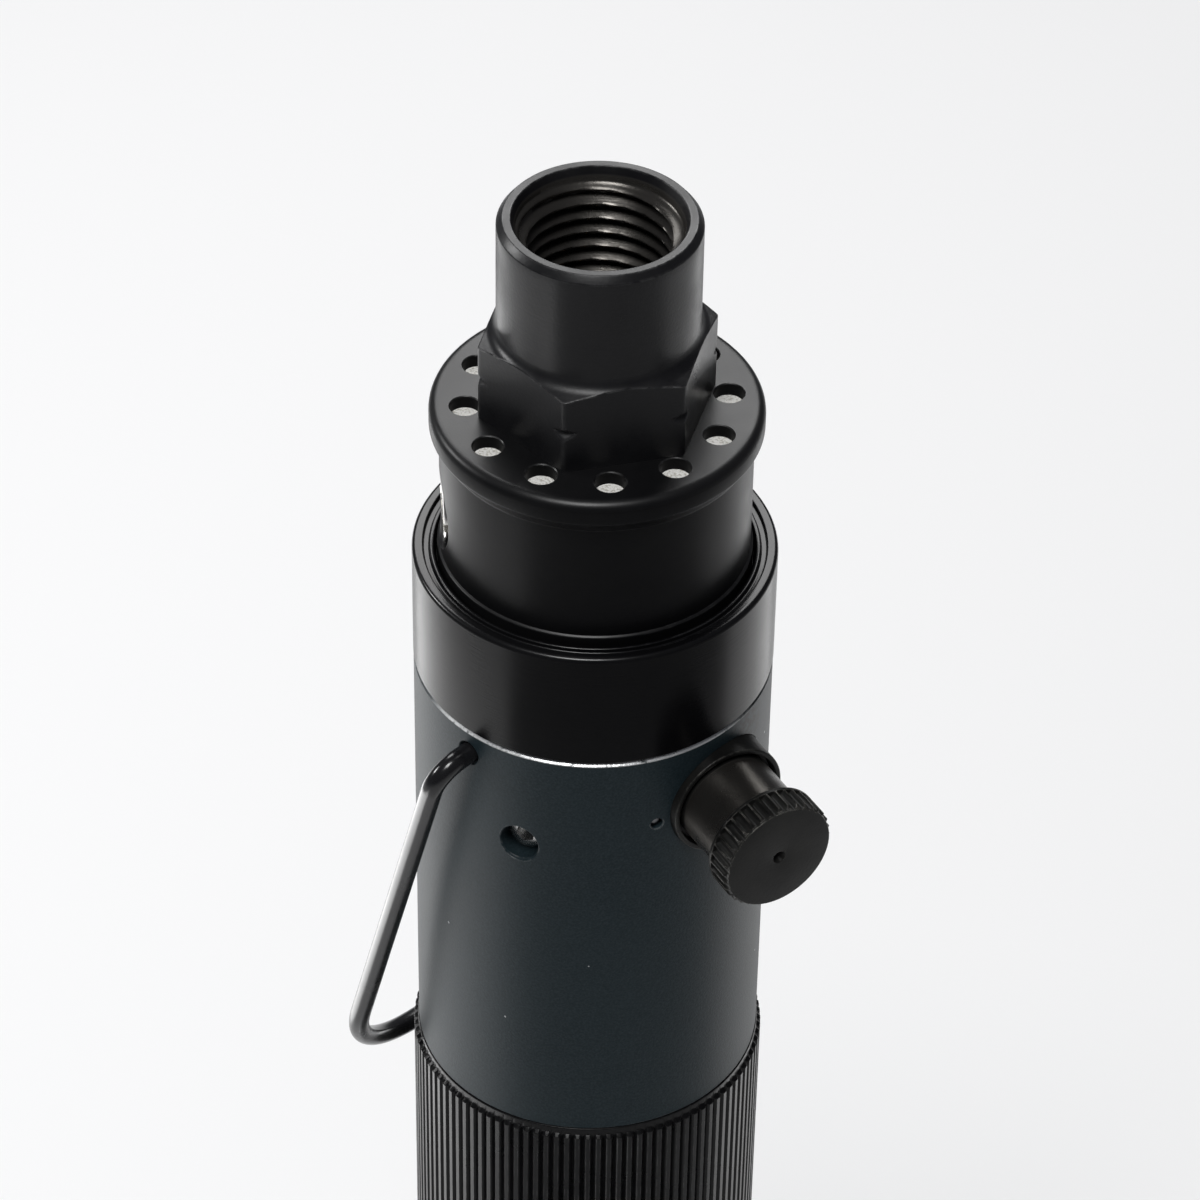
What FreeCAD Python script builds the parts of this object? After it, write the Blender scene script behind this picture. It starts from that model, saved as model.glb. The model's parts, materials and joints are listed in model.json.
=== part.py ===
import FreeCAD, Part
import math
import os

from FreeCAD import Vector

# Hand-held straight air tool for screwing caps on bottles, in millimetres.
# It stands upright on the rim of its bell-shaped chuck. The origin is the
# centre of that rim, +Z runs up the tool to the air inlet, and the front of
# the tool looks along -Y. Azimuths are degrees from the front towards +X.

# Outer stack, from the chuck rim up
chuck_height = 38.0
spindle_gap = 4.0
nose_height = 18.8
torque_ring_height = 13.0
case_height = 21.2
grip_height = 66.0
tube_height = 42.4
collar_height = 11.2
neck_height = 14.6
hex_height = 7.3
inlet_height = 10.5

# Outer radii
tube_radius = 14.97
grip_radius = 15.4
collar_radius = 15.0
flange_radius = 13.5
neck_radius = 12.7
inlet_radius = 8.12
case_radius = 14.6
torque_ring_radius = 14.8
chuck_radius = 22.0

# Shell and bore sizes
tube_bore = 12.0
grip_wall = 2.15
spigot_wall = 1.3
spigot_length = 6.6
case_bore = 10.4
case_gap = 0.9
case_lip_bore = 7.0
case_lip_length = 2.2
case_groove_depth = 0.6
case_groove_half = 0.5
edge_break = 0.5
chuck_wall = 2.4
chuck_depth = 22.0
chuck_hub_radius = 10.0

# Clearances
fit_gap = 0.05
run_gap = 0.1
free_gap = 0.3
face_gap = 0.1
cutter_run = 9.0

# Air inlet with a G 1/4 parallel thread
thread_major = 13.157 / 2
thread_minor = 11.445 / 2
thread_pitch = 1.337
thread_length = 11.0
inlet_plain_length = 3.0
inlet_mouth_radius = 6.95
inlet_mouth_depth = 0.8
inlet_edge = 0.48
hex_across_flats = 17.0
hex_turn = 14.5
hex_groove_depth = 0.55
hex_groove_width = 1.1
hex_chamfer = 0.55
stem_radius = 6.95
stem_length = 7.6
air_bore = 4.0
strainer_wall = 0.35
strainer_length = 8.0
strainer_rim_radius = 5.2
strainer_rim = 0.7

# Exhaust cap
flange_plate = 1.15
flange_side = 2.0
flange_round = 0.8
flange_cone = 1.2
exhaust_holes = 12
exhaust_hole_radius = 1.25
exhaust_circle = 10.6
exhaust_turn = 6.0
silencer_height = 4.0
silencer_inner = 8.0
silencer_outer = 11.9
shoulder_height = 2.1
shoulder_extra = 0.6
cap_spigot_length = 5.0
passage_count = 6
passage_radius = 1.3
passage_circle = 10.0

# Flow regulator in the neck
regulator_azimuth = -85.0
regulator_drop = 10.2
regulator_head_radius = 3.15
regulator_pocket_gap = 0.45
regulator_head_height = 1.3
regulator_shank_radius = 2.1
regulator_slot = 0.8
regulator_slot_depth = 0.6
regulator_groove_drop = 3.0
regulator_wire = 0.35
regulator_tip = 1.0
regulator_sunk = 0.2

# Collar
collar_round = 1.2
collar_lip = 2.2
collar_dish_radius = 14.1
collar_dish_depth = 0.7

# Suspension bail
bail_azimuth = -42.4
bail_drop = 2.4
bail_wire = 0.9
bail_reach = 3.66
bail_length = 53.4
bail_lean = 5.05
bail_elbow = 2.3
bail_round = 13.4
bail_rest_angle = 19.0

# Reversing valve knob, whose axis passes beside the tool's axis
knob_azimuth = 31.0
knob_drop = 6.8
knob_offset = 3.8
knob_bush_radius = 5.1
knob_bush_proud = 0.73
knob_bush_recess = 1.0
knob_bush_wall = 0.45
knob_neck_radius = 4.3
knob_neck_length = 5.8
knob_head_radius = 5.1
knob_head_length = 2.75
knob_plain_edge = 0.6
knob_flutes = 36
knob_flute_depth = 0.25
knob_dimple_radius = 0.6
spool_radius = 3.0
spool_depth = 9.4
port_reach = 8.3
port_radius = 1.0

# Pin and set screw in the tube wall
lock_pin_azimuth = 21.4
lock_pin_drop = 7.3
lock_pin_radius = 0.5
set_screw_azimuth = -23.2
set_screw_drop = 9.9
set_screw_radius = 1.65
set_screw_sunk = 1.4
set_screw_depth = 4.6
set_screw_socket = 1.5

# Throttle valve
valve_body_height = 21.9
feed_radius = 1.8
exhaust_groove_radius = 1.2
seal_ring_radius = 5.5
seal_wire = 0.65
chamber_radius = 3.2
chamber_height = 10.1
seat_height = 2.6
seat_bore = 1.5
ball_radius = 2.0
valve_spring_wall = 0.6
rod_radius = 1.0
start_travel = 2.0

# Vane motor
gasket_thickness = 0.5
plate_thickness = 7.0
liner_length = 36.0
liner_bore = 9.2
liner_offset = 0.9
liner_pin_radius = 0.8
liner_pin_length = 5.0
liner_pin_inset = 1.3
liner_ports = 3
rotor_radius = 8.2
vane_count = 5
vane_width = 1.5
vane_depth = 3.8
journal_radius = 3.0
motor_bearing_outer = 7.5
motor_bearing_width = 5.0

# Two planetary stages in one ring gear
gear_module = 0.4
sun_teeth = 12
planet_teeth = 18
ring_teeth = sun_teeth + 2 * planet_teeth
pressure_angle = 25.0
tooth_height = 0.8
tooth_depth = 1.05
backlash = 0.08
planet_count = 3
planet_width = 6.0
planet_pin_radius = 1.2
carrier_plate = 3.2
carrier_radius = 8.8
stage_gap = 0.4
output_radius = 5.0
output_bearing_outer = 9.5
output_bearing_width = 5.0

# Clutch
clutch_radius = 9.6
driver_height = 7.0
driver_stub_radius = 3.5
driver_stub_length = 6.0
driver_flat = 2.8
clutch_ball_count = 4
clutch_ball_radius = 2.0
clutch_ball_circle = 7.0
clutch_face_gap = 2.0
cup_flange = 4.0
cup_hub_radius = 5.6
clutch_spring_wall = 2.6
washer_thickness = 0.9
seat_ring_height = 3.0
seat_lug_width = 2.6
seat_lug_reach = 13.4
seat_travel = 2.5
seat_above_ring = 3.5

# Spindle, nose and chuck
spindle_radius = 5.0
spindle_collar_radius = 6.6
spindle_collar_height = 2.5
spindle_hex = 6.8
spindle_hex_length = 28.6
rod_socket_depth = 3.0
nose_tip_radius = 9.5
nose_cone_height = 11.0
bush_wall = 2.0
bush_flange_radius = 8.6
bush_flange_height = 1.2
nose_floor = 9.6
start_spring_wall = 1.6
start_spring_length = 10.0
chuck_screw_radius = 2.0
chuck_screw_drop = 5.0
chuck_screw_azimuth = 60.0
liner_wall = 2.0
liner_mouth_gap = 1.5
chuck_flare = 9.0
chuck_neck_height = 7.0
liner_top_drop = 4.2
liner_lip = 4.0

# Fluting
grip_flutes = 105
grip_flute_depth = 0.35
grip_rim = 0.7
torque_flutes = 40
torque_flute_depth = 0.4

# Levels
chuck_top = chuck_height
chuck_screw_height = chuck_top - chuck_screw_drop
flare_bottom = chuck_top - chuck_neck_height - chuck_flare
nose_bottom = chuck_top + spindle_gap
nose_top = nose_bottom + nose_height
torque_bottom = nose_top + face_gap
torque_top = torque_bottom + torque_ring_height
case_shoulder = torque_top + face_gap
grip_bottom = case_shoulder + case_height
grip_top = grip_bottom + grip_height
tube_top = grip_top + tube_height
collar_top = tube_top + collar_height
flange_top = collar_top + neck_height
hex_top = flange_top + hex_height
inlet_top = hex_top + inlet_height

spigot_radius = tube_bore + spigot_wall
spigot_top = tube_top + spigot_length
shoulder_bottom = spigot_top + face_gap
shoulder_top = shoulder_bottom + shoulder_height
cap_bottom = shoulder_bottom - cap_spigot_length
inner_radius = tube_bore - fit_gap

valve_top = cap_bottom - face_gap
valve_bottom = valve_top - valve_body_height
rear_plate_top = valve_bottom - gasket_thickness
liner_top = rear_plate_top - plate_thickness
liner_bottom = liner_top - liner_length
ring_top = liner_bottom - plate_thickness
gear_radius = gear_module * (sun_teeth + planet_teeth) / 2

bail_height = tube_top - bail_drop
knob_height = tube_top - knob_drop
regulator_height = flange_top - regulator_drop
lock_pin_height = tube_top - lock_pin_drop
set_screw_height = tube_top - set_screw_drop

planet_top_1 = ring_top - 4 * stage_gap
carrier_top_1 = planet_top_1 - planet_width - stage_gap
carrier_bottom_1 = carrier_top_1 - carrier_plate
planet_top_2 = carrier_bottom_1 - 3 * stage_gap
carrier_top_2 = planet_top_2 - planet_width - stage_gap
carrier_bottom_2 = carrier_top_2 - carrier_plate
case_top = carrier_bottom_2 - case_gap

driver_top = case_top - output_bearing_width - case_lip_length - free_gap
driver_bottom = driver_top - driver_height
cup_top = driver_bottom - clutch_face_gap
cup_bottom = cup_top - cup_flange
seat_bottom = torque_bottom + seat_above_ring
seat_top = seat_bottom + seat_ring_height
washer_bottom = seat_top + face_gap
bush_bottom = nose_bottom + free_gap
bush_shoulder = nose_bottom + nose_floor
collar_seat = bush_shoulder + bush_flange_height + face_gap
collar_end = collar_seat + spindle_collar_height
hub_bottom = collar_end + start_spring_length
spindle_top = collar_end + spindle_hex_length
seat_insert_top = valve_bottom + seat_height
ball_height = seat_insert_top + math.sqrt(ball_radius ** 2 - seat_bore ** 2) + 0.02


def direction(azimuth):
    angle = math.radians(azimuth)
    return Vector(math.sin(angle), -math.cos(angle), 0)


def sideways(azimuth):
    angle = math.radians(azimuth)
    return Vector(math.cos(angle), math.sin(angle), 0)


def disc(radius, bottom, height):
    return Part.makeCylinder(radius, height, Vector(0, 0, bottom))


def tube(outer, inner, bottom, height):
    return disc(outer, bottom, height).cut(disc(inner, bottom - 1, height + 2))


def turned(profile):
    points = [Vector(radius, 0, height) for radius, height in profile]
    face = Part.Face(Part.makePolygon(points + points[:1]))
    return face.revolve(Vector(0, 0, 0), Vector(0, 0, 1), 360)


def radial_rod(radius, azimuth, height, start, length, offset=0):
    base = direction(azimuth) * start + sideways(azimuth) * offset
    return Part.makeCylinder(radius, length, base + Vector(0, 0, height), direction(azimuth))


def radial_ring(ring_radius, wire_radius, azimuth, height, reach, offset=0):
    base = direction(azimuth) * reach + sideways(azimuth) * offset
    return Part.makeTorus(ring_radius, wire_radius, base + Vector(0, 0, height), direction(azimuth))


def polygon_prism(points, bottom, height):
    corners = [Vector(x, y, bottom) for x, y in points]
    face = Part.Face(Part.makePolygon(corners + corners[:1]))
    return face.extrude(Vector(0, 0, height))


def hexagon(across_flats, bottom, height, turn=0):
    corner = across_flats / math.sqrt(3)
    angles = [math.radians(turn + 60 * step) for step in range(6)]
    points = [(corner * math.cos(angle), corner * math.sin(angle)) for angle in angles]
    return polygon_prism(points, bottom, height)


def turn_about_axis(shape, degrees):
    return shape.rotated(Vector(0, 0, 0), Vector(0, 0, 1), degrees)


def copies_round(shape, count, first=0):
    return [turn_about_axis(shape, first + 360 * step / count) for step in range(count)]


def cut_all(shape, tools):
    return shape.cut(Part.makeCompound(tools))


def lay_along(shape, azimuth, height, reach, offset=0):
    """Turns a shape built up +Z so that it points outwards at an azimuth."""
    laid = shape.rotated(Vector(0, 0, 0), Vector(1, 0, 0), 90)
    laid = turn_about_axis(laid, azimuth)
    base = direction(azimuth) * reach + sideways(azimuth) * offset
    laid.translate(base + Vector(0, 0, height))
    return laid


def fluted(radius, depth, count, bottom, height):
    """A disc with straight V flutes between flat lands round its edge."""
    pitch = 2 * math.pi / count
    land = 0.45 * pitch
    points = []
    for step in range(count):
        start = step * pitch
        root = start + (land + pitch) / 2
        for angle, reach in ((start, radius), (start + land, radius), (root, radius - depth)):
            points.append((reach * math.cos(angle), reach * math.sin(angle)))
    return polygon_prism(points, bottom, height)


def gear_outline(teeth, tip, root, thickness_change, turn):
    """Involute tooth flanks as points, one tooth centred on the turn angle."""
    pitch_radius = gear_module * teeth / 2
    base_radius = pitch_radius * math.cos(math.radians(pressure_angle))
    low = min(tip, root)
    high = max(tip, root)

    def involute(radius):
        angle = math.acos(min(1.0, base_radius / radius))
        return math.tan(angle) - angle

    half_tooth = math.pi / (2 * teeth) + thickness_change / (2 * pitch_radius)
    start = max(low, base_radius)
    flank = []
    if low < base_radius:
        flank.append((low, half_tooth + involute(pitch_radius)))
    for step in range(5):
        radius = start + (high - start) * step / 4
        flank.append((radius, half_tooth + involute(pitch_radius) - involute(radius)))
    points = []
    for tooth in range(teeth):
        centre = math.radians(turn) + 2 * math.pi * tooth / teeth
        for radius, half in flank:
            points.append((radius * math.cos(centre - half), radius * math.sin(centre - half)))
        for radius, half in reversed(flank):
            points.append((radius * math.cos(centre + half), radius * math.sin(centre + half)))
    return points


def outer_gear(teeth, bottom, height, turn):
    pitch_radius = gear_module * teeth / 2
    tip = pitch_radius + tooth_height * gear_module
    root = pitch_radius - tooth_depth * gear_module
    return polygon_prism(gear_outline(teeth, tip, root, -backlash / 2, turn), bottom, height)


def inner_gear(teeth, outer, bottom, height, turn):
    """A ring gear, cut by teeth that stand where its tooth spaces are."""
    pitch_radius = gear_module * teeth / 2
    tip = pitch_radius - tooth_height * gear_module
    root = pitch_radius + tooth_depth * gear_module
    spaces = gear_outline(teeth, root, tip, backlash / 2, turn + 180 / teeth)
    return disc(outer, bottom, height).cut(polygon_prism(spaces, bottom - 1, height + 2))


def ball_bearing(bore, outer, width, bottom, count):
    """Outer ring, inner ring and balls of one bearing."""
    wall = 0.3 * (outer - bore)
    ball = 0.23 * (outer - bore)
    circle = (outer + bore) / 2
    middle = bottom + width / 2
    race = Part.makeTorus(circle, ball + run_gap, Vector(0, 0, middle))
    outer_ring = tube(outer - fit_gap / 2, outer - wall, bottom, width).cut(race)
    inner_ring = tube(bore + wall, bore + fit_gap / 2, bottom, width).cut(race)
    balls = copies_round(Part.makeSphere(ball, Vector(circle, 0, middle)), count)
    return outer_ring, inner_ring, balls


def thread_cutter(minor, major, pitch, bottom, length):
    """One helical V groove that cuts an internal thread into a bore."""
    inside = minor - 0.15
    flat = 0.06 * pitch
    wide = 0.46 * pitch
    helix = Part.makeLongHelix(pitch, length, inside, 0)
    helix.translate(Vector(0, 0, bottom))
    corners = [
        Vector(inside, 0, bottom - wide),
        Vector(major, 0, bottom - flat),
        Vector(major, 0, bottom + flat),
        Vector(inside, 0, bottom + wide),
    ]
    profile = Part.makePolygon(corners + corners[:1])
    return Part.Wire(helix.Edges).makePipeShell([profile], True, True)


def inlet_fitting():
    stem_bottom = flange_top - stem_length
    stem = disc(stem_radius, stem_bottom, stem_length + 1)
    hexagon_body = hexagon(hex_across_flats, flange_top, hex_height, hex_turn)
    corner = hex_across_flats / math.sqrt(3)
    chamfer_cone = turned([
        (0, flange_top),
        (corner, flange_top),
        (corner, hex_top - hex_chamfer),
        (hex_across_flats / 2 - 0.1, hex_top),
        (0, hex_top),
    ])
    middle = flange_top + hex_height / 2
    groove = turned([
        (corner + 1, middle - hex_groove_width / 2 - hex_groove_width),
        (corner - hex_groove_depth, middle),
        (corner + 1, middle + hex_groove_width / 2 + hex_groove_width),
    ])
    upper = turned([
        (0, hex_top - 1),
        (inlet_radius, hex_top - 1),
        (inlet_radius, inlet_top - inlet_edge * 1.2),
        (inlet_radius - inlet_edge, inlet_top),
        (0, inlet_top),
    ])
    thread_bottom = inlet_top - inlet_mouth_depth - thread_length
    plain_bottom = thread_bottom - inlet_plain_length
    bore = turned([
        (0, stem_bottom - 1),
        (air_bore, stem_bottom - 1),
        (air_bore, plain_bottom - strainer_rim),
        (strainer_rim_radius, plain_bottom - strainer_rim),
        (strainer_rim_radius, plain_bottom),
        (thread_minor, plain_bottom),
        (thread_minor, inlet_top - inlet_mouth_depth),
        (thread_major, inlet_top - inlet_mouth_depth),
        (inlet_mouth_radius, inlet_top + 0.01),
        (0, inlet_top + 0.01),
    ])
    body = hexagon_body.common(chamfer_cone).cut(groove).fuse([stem, upper]).removeSplitter().cut(bore)
    cutter_length = thread_length + thread_pitch
    cutter = thread_cutter(thread_minor, thread_major, thread_pitch, thread_bottom, cutter_length)
    return body.cut(cutter)


def inlet_strainer():
    top = inlet_top - inlet_mouth_depth - thread_length - inlet_plain_length - strainer_rim
    outer = air_bore - fit_gap
    return turned([
        (outer - strainer_wall, top + strainer_rim - fit_gap),
        (strainer_rim_radius - fit_gap, top + strainer_rim - fit_gap),
        (strainer_rim_radius - fit_gap, top),
        (outer, top),
        (outer - 1, top - strainer_length),
        (0, top - strainer_length),
        (0, top - strainer_length + strainer_wall),
        (outer - 1 - strainer_wall, top - strainer_length + strainer_wall),
    ])


def exhaust_cap():
    side_top = flange_top - flange_round
    side_bottom = flange_top - flange_side
    outside = turned([
        (0, cap_bottom),
        (inner_radius, cap_bottom),
        (inner_radius, shoulder_bottom),
        (neck_radius + shoulder_extra, shoulder_bottom),
        (neck_radius + shoulder_extra, shoulder_top),
        (neck_radius, shoulder_top),
        (neck_radius, side_bottom - flange_cone),
        (flange_radius, side_bottom),
        (flange_radius, side_top),
        (flange_radius - 0.3 * flange_round, flange_top - 0.3 * flange_round),
        (flange_radius - flange_round, flange_top),
        (0, flange_top),
    ])
    chamber_top = flange_top - flange_plate
    chamber_bottom = chamber_top - silencer_height
    chamber = tube(silencer_outer, silencer_inner, chamber_bottom, silencer_height)
    stem_bore = disc(stem_radius + fit_gap, flange_top - stem_length, stem_length + 1)
    bore = disc(air_bore, cap_bottom - 1, flange_top - cap_bottom)
    hole = Part.makeCylinder(exhaust_hole_radius, flange_plate + 1, direction(exhaust_turn) * exhaust_circle
                             + Vector(0, 0, chamber_top - 0.5))
    passage_turn = regulator_azimuth + 180 / passage_count
    passage = Part.makeCylinder(passage_radius, chamber_bottom - cap_bottom + 2, direction(passage_turn)
                                * passage_circle + Vector(0, 0, cap_bottom - 1))
    head_floor = neck_radius - regulator_sunk - regulator_head_height - free_gap
    pocket_radius = regulator_head_radius + regulator_pocket_gap
    head_pocket = radial_rod(pocket_radius, regulator_azimuth, regulator_height, head_floor, cutter_run)
    shank_bore_radius = regulator_shank_radius + fit_gap
    shank_bore = radial_rod(shank_bore_radius, regulator_azimuth, regulator_height, 0, neck_radius)
    cuts = [chamber, stem_bore, bore, head_pocket, shank_bore]
    cuts += copies_round(hole, exhaust_holes)
    cuts += copies_round(passage, passage_count)
    return cut_all(outside, cuts)


def silencer_disc():
    top = flange_top - flange_plate
    return tube(silencer_outer - run_gap, silencer_inner + run_gap, top - silencer_height, silencer_height)


def regulator_screw():
    face = neck_radius - regulator_sunk
    head_bottom = face - regulator_head_height
    tip = air_bore - regulator_tip
    place = (regulator_azimuth, regulator_height)
    head = radial_rod(regulator_head_radius, *place, head_bottom, regulator_head_height)
    shank = radial_rod(regulator_shank_radius, *place, tip, head_bottom - tip + 0.1)
    slot = Part.makeBox(4 * regulator_head_radius, regulator_slot, 2)
    slot.translate(Vector(-2 * regulator_head_radius, -regulator_slot / 2, 0))
    slot = lay_along(slot, *place, face - regulator_slot_depth)
    groove_reach = head_bottom - regulator_groove_drop
    groove = radial_ring(regulator_shank_radius, regulator_slot, *place, groove_reach)
    return head.fuse(shank).removeSplitter().cut(slot).cut(groove)


def regulator_seal():
    reach = neck_radius - regulator_sunk - regulator_head_height - regulator_groove_drop
    ring_radius = regulator_shank_radius - regulator_wire
    return radial_ring(ring_radius, regulator_wire, regulator_azimuth, regulator_height, reach)


def collar_ring():
    lip_bottom = collar_top - collar_lip
    lip_bore = neck_radius + free_gap
    inside = spigot_radius + fit_gap
    dish_bottom = collar_top - collar_dish_depth
    body = turned([
        (inside, tube_top + face_gap),
        (collar_radius - 0.2, tube_top + face_gap),
        (collar_radius, tube_top + face_gap + 0.2),
        (collar_radius, collar_top - collar_round),
        (collar_radius - 0.3 * collar_round, collar_top - 0.3 * collar_round),
        (collar_radius - 0.75 * collar_round, collar_top),
        (collar_dish_radius, collar_top),
        (collar_dish_radius, collar_top - 0.25),
        (collar_dish_radius - 0.25, collar_top - 0.25),
        (lip_bore, dish_bottom),
        (lip_bore, lip_bottom),
        (inside, lip_bottom),
    ])
    return body


def bail_path(swing):
    """Centre line of the bail's wire: the points where its straight runs would meet."""
    along = direction(bail_azimuth)
    across = Vector(0, 0, 1).cross(along)
    angle = math.radians(swing)
    down = Vector(0, 0, -1) * math.cos(angle) - across * math.sin(angle)
    width_top = tube_radius + bail_reach
    width_bottom = width_top - bail_length * math.tan(math.radians(bail_lean))
    end = tube_bore + run_gap
    pivot = Vector(0, 0, bail_height)
    corners = [(end, 0), (width_top, 0), (width_bottom, bail_length)]
    corners += [(-width, length) for width, length in reversed(corners)]
    return [pivot + along * width + down * length for width, length in corners]


def rounded_wire(points, radii):
    """Straight runs joined by arcs tangent to both."""
    edges = []
    start = points[0]
    for before, corner, after, radius in zip(points, points[1:], points[2:], radii):
        back = (before - corner).normalize()
        ahead = (after - corner).normalize()
        half = back.getAngle(ahead) / 2
        reach = radius / math.tan(half)
        middle = (back + ahead).normalize()
        centre = corner + middle * (radius / math.sin(half))
        first = corner + back * reach
        last = corner + ahead * reach
        top = centre - middle * radius
        edges.append(Part.LineSegment(start, first).toShape())
        edges.append(Part.Arc(first, top, last).toShape())
        start = last
    edges.append(Part.LineSegment(start, points[-1]).toShape())
    return Part.Wire(edges)


def bail():
    points = bail_path(bail_rest_angle)
    path = rounded_wire(points, [bail_elbow, bail_round, bail_round, bail_elbow])
    start = (points[1] - points[0]).normalize()
    profile = Part.Wire([Part.Circle(points[0], start, bail_wire).toShape()])
    return path.makePipeShell([profile], True, False)


def body_tube():
    grip_seat = grip_radius - grip_wall - fit_gap
    edge = 0.4
    body = turned([
        (tube_bore, grip_bottom),
        (grip_seat, grip_bottom),
        (grip_seat, grip_top),
        (tube_radius - 0.2, grip_top),
        (tube_radius, grip_top + 0.2),
        (tube_radius, tube_top - edge),
        (tube_radius - edge, tube_top),
        (spigot_radius, tube_top),
        (spigot_radius, spigot_top),
        (tube_bore, spigot_top),
    ])
    wall = tube_radius
    cuts = []
    for azimuth in (bail_azimuth, bail_azimuth + 180):
        cuts.append(radial_rod(bail_wire + run_gap, azimuth, bail_height, tube_bore - 2, wall))
    cuts.append(radial_rod(knob_bush_radius + fit_gap, knob_azimuth, knob_height, 4, wall, knob_offset))
    cuts.append(radial_rod(lock_pin_radius + 0.02, lock_pin_azimuth, lock_pin_height, tube_bore - 2, wall))
    screw_hole_radius = set_screw_radius + fit_gap
    cuts.append(radial_rod(screw_hole_radius, set_screw_azimuth, set_screw_height, tube_bore - 2, wall))
    return cut_all(body, cuts)


def bush_start():
    """Inner end of the knob's bush, just inside the wall at its far side."""
    return math.sqrt(tube_bore ** 2 - (knob_offset + knob_bush_radius) ** 2) - 0.4


def bush_face():
    return tube_radius + knob_bush_proud


def valve_bush():
    start = bush_start()
    length = bush_face() - start
    outer = radial_rod(knob_bush_radius, knob_azimuth, knob_height, start, length, knob_offset)
    bore = radial_rod(spool_radius + fit_gap, knob_azimuth, knob_height, start - 1, length + 2, knob_offset)
    recess = radial_rod(knob_bush_radius - knob_bush_wall, knob_azimuth, knob_height,
                        bush_face() - knob_bush_recess, 2 * knob_bush_recess, knob_offset)
    return outer.cut(bore).cut(recess)


def reverse_knob():
    neck_start = knob_start()
    neck_end = neck_start + knob_neck_length
    head = disc(knob_head_radius, 0, knob_plain_edge)
    head = head.fuse(fluted(knob_head_radius, knob_flute_depth, knob_flutes, knob_plain_edge,
                            knob_head_length - knob_plain_edge))
    crown = turned([
        (0, 0),
        (knob_head_radius - 0.25, 0),
        (knob_head_radius, 0.25),
        (knob_head_radius, knob_head_length - 0.25),
        (knob_head_radius - 0.25, knob_head_length),
        (0, knob_head_length),
    ])
    head = head.common(crown)
    head.translate(Vector(0, 0, knob_neck_length))
    neck = disc(knob_neck_radius, 0, knob_neck_length)
    dimple_depth = knob_dimple_radius * math.sqrt(3)
    top = knob_neck_length + knob_head_length
    dimple = Part.makeCone(0, knob_dimple_radius, dimple_depth, Vector(0, 0, top - dimple_depth))
    socket = disc(stem_of_spool() + fit_gap, -1, knob_neck_length)
    knob = neck.fuse(head).removeSplitter().cut(dimple).cut(socket)
    return lay_along(knob, knob_azimuth, knob_height, neck_end - knob_neck_length, knob_offset)


def knob_start():
    """Where the knob's neck begins, inside the recess of the bush."""
    return bush_face() - knob_bush_recess + free_gap


def stem_of_spool():
    return spool_radius - 0.8


def reverse_spool():
    face = knob_start() - run_gap
    start = -spool_depth
    body = radial_rod(spool_radius, knob_azimuth, knob_height, start, face - start, knob_offset)
    stem_length_out = knob_neck_length - 1.0
    stem = radial_rod(stem_of_spool(), knob_azimuth, knob_height, face - 0.1, stem_length_out, knob_offset)
    spool = body.fuse(stem).removeSplitter()
    cuts = []
    for reach in (-port_reach, port_reach):
        base = direction(knob_azimuth) * reach + sideways(knob_azimuth) * knob_offset
        port_bottom = Vector(0, 0, knob_height - 2 * spool_radius)
        cuts.append(Part.makeCylinder(port_radius, 4 * spool_radius, base + port_bottom))
    groove_reach = seal_reach()
    cuts.append(radial_rod(spool_radius + 1, knob_azimuth, knob_height, groove_reach - 0.6, 1.2, knob_offset).cut(
        radial_rod(spool_radius - 0.9, knob_azimuth, knob_height, groove_reach - 1, 2, knob_offset)))
    return cut_all(spool, cuts)


def seal_reach():
    return bush_face() - 2.6


def spool_seal():
    wire = 0.44
    return radial_ring(spool_radius - wire - 0.01, wire, knob_azimuth, knob_height, seal_reach(), knob_offset)


def lock_pin():
    start = tube_bore + 0.6
    length = tube_radius - 0.15 - start
    return radial_rod(lock_pin_radius, lock_pin_azimuth, lock_pin_height, start, length)


def set_screw():
    face = tube_radius - set_screw_sunk
    start = face - set_screw_depth
    screw = radial_rod(set_screw_radius, set_screw_azimuth, set_screw_height, start, set_screw_depth)
    socket = lay_along(hexagon(set_screw_socket, 0, 2), set_screw_azimuth, set_screw_height, face - 1.2)
    return screw.cut(socket)


def port_places():
    for reach in (-port_reach, port_reach):
        yield direction(knob_azimuth) * reach + sideways(knob_azimuth) * knob_offset


def valve_body():
    body = disc(inner_radius, valve_bottom, valve_body_height)
    chamber = disc(chamber_radius, valve_bottom - 1, chamber_height + 1)
    feed_place = sideways(knob_azimuth) * -(chamber_radius - 0.2)
    feed = Part.makeCylinder(feed_radius, valve_body_height - chamber_height + 4, feed_place
                             + Vector(0, 0, valve_bottom + chamber_height - 3))
    spool_bore = radial_rod(spool_radius + fit_gap, knob_azimuth, knob_height, -spool_depth - free_gap,
                            2 * tube_bore, knob_offset)
    bush_pocket = radial_rod(knob_bush_radius + fit_gap, knob_azimuth, knob_height, bush_start() - fit_gap,
                             tube_bore, knob_offset)
    screw_start = tube_radius - set_screw_sunk - set_screw_depth - fit_gap
    screw_hole_radius = set_screw_radius + fit_gap
    screw_hole = radial_rod(screw_hole_radius, set_screw_azimuth, set_screw_height, screw_start, cutter_run)
    groove_half = seal_wire + 3 * fit_gap
    groove_outer = seal_ring_radius + groove_half
    groove_inner = seal_ring_radius - groove_half
    seal_groove = tube(groove_outer, groove_inner, valve_top - 2 * seal_wire, 2)
    cuts = [chamber, feed, spool_bore, bush_pocket, screw_hole, seal_groove]
    for place in port_places():
        cuts.append(Part.makeCylinder(port_radius, knob_height - valve_bottom + 1, place
                                      + Vector(0, 0, valve_bottom - 1)))
    for azimuth in (-110, -85, 90, 115, 170):
        cuts.append(Part.makeCylinder(exhaust_groove_radius, valve_body_height + 2, direction(azimuth) * tube_bore
                                      + Vector(0, 0, valve_bottom - 1)))
    return cut_all(body, cuts)


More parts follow.
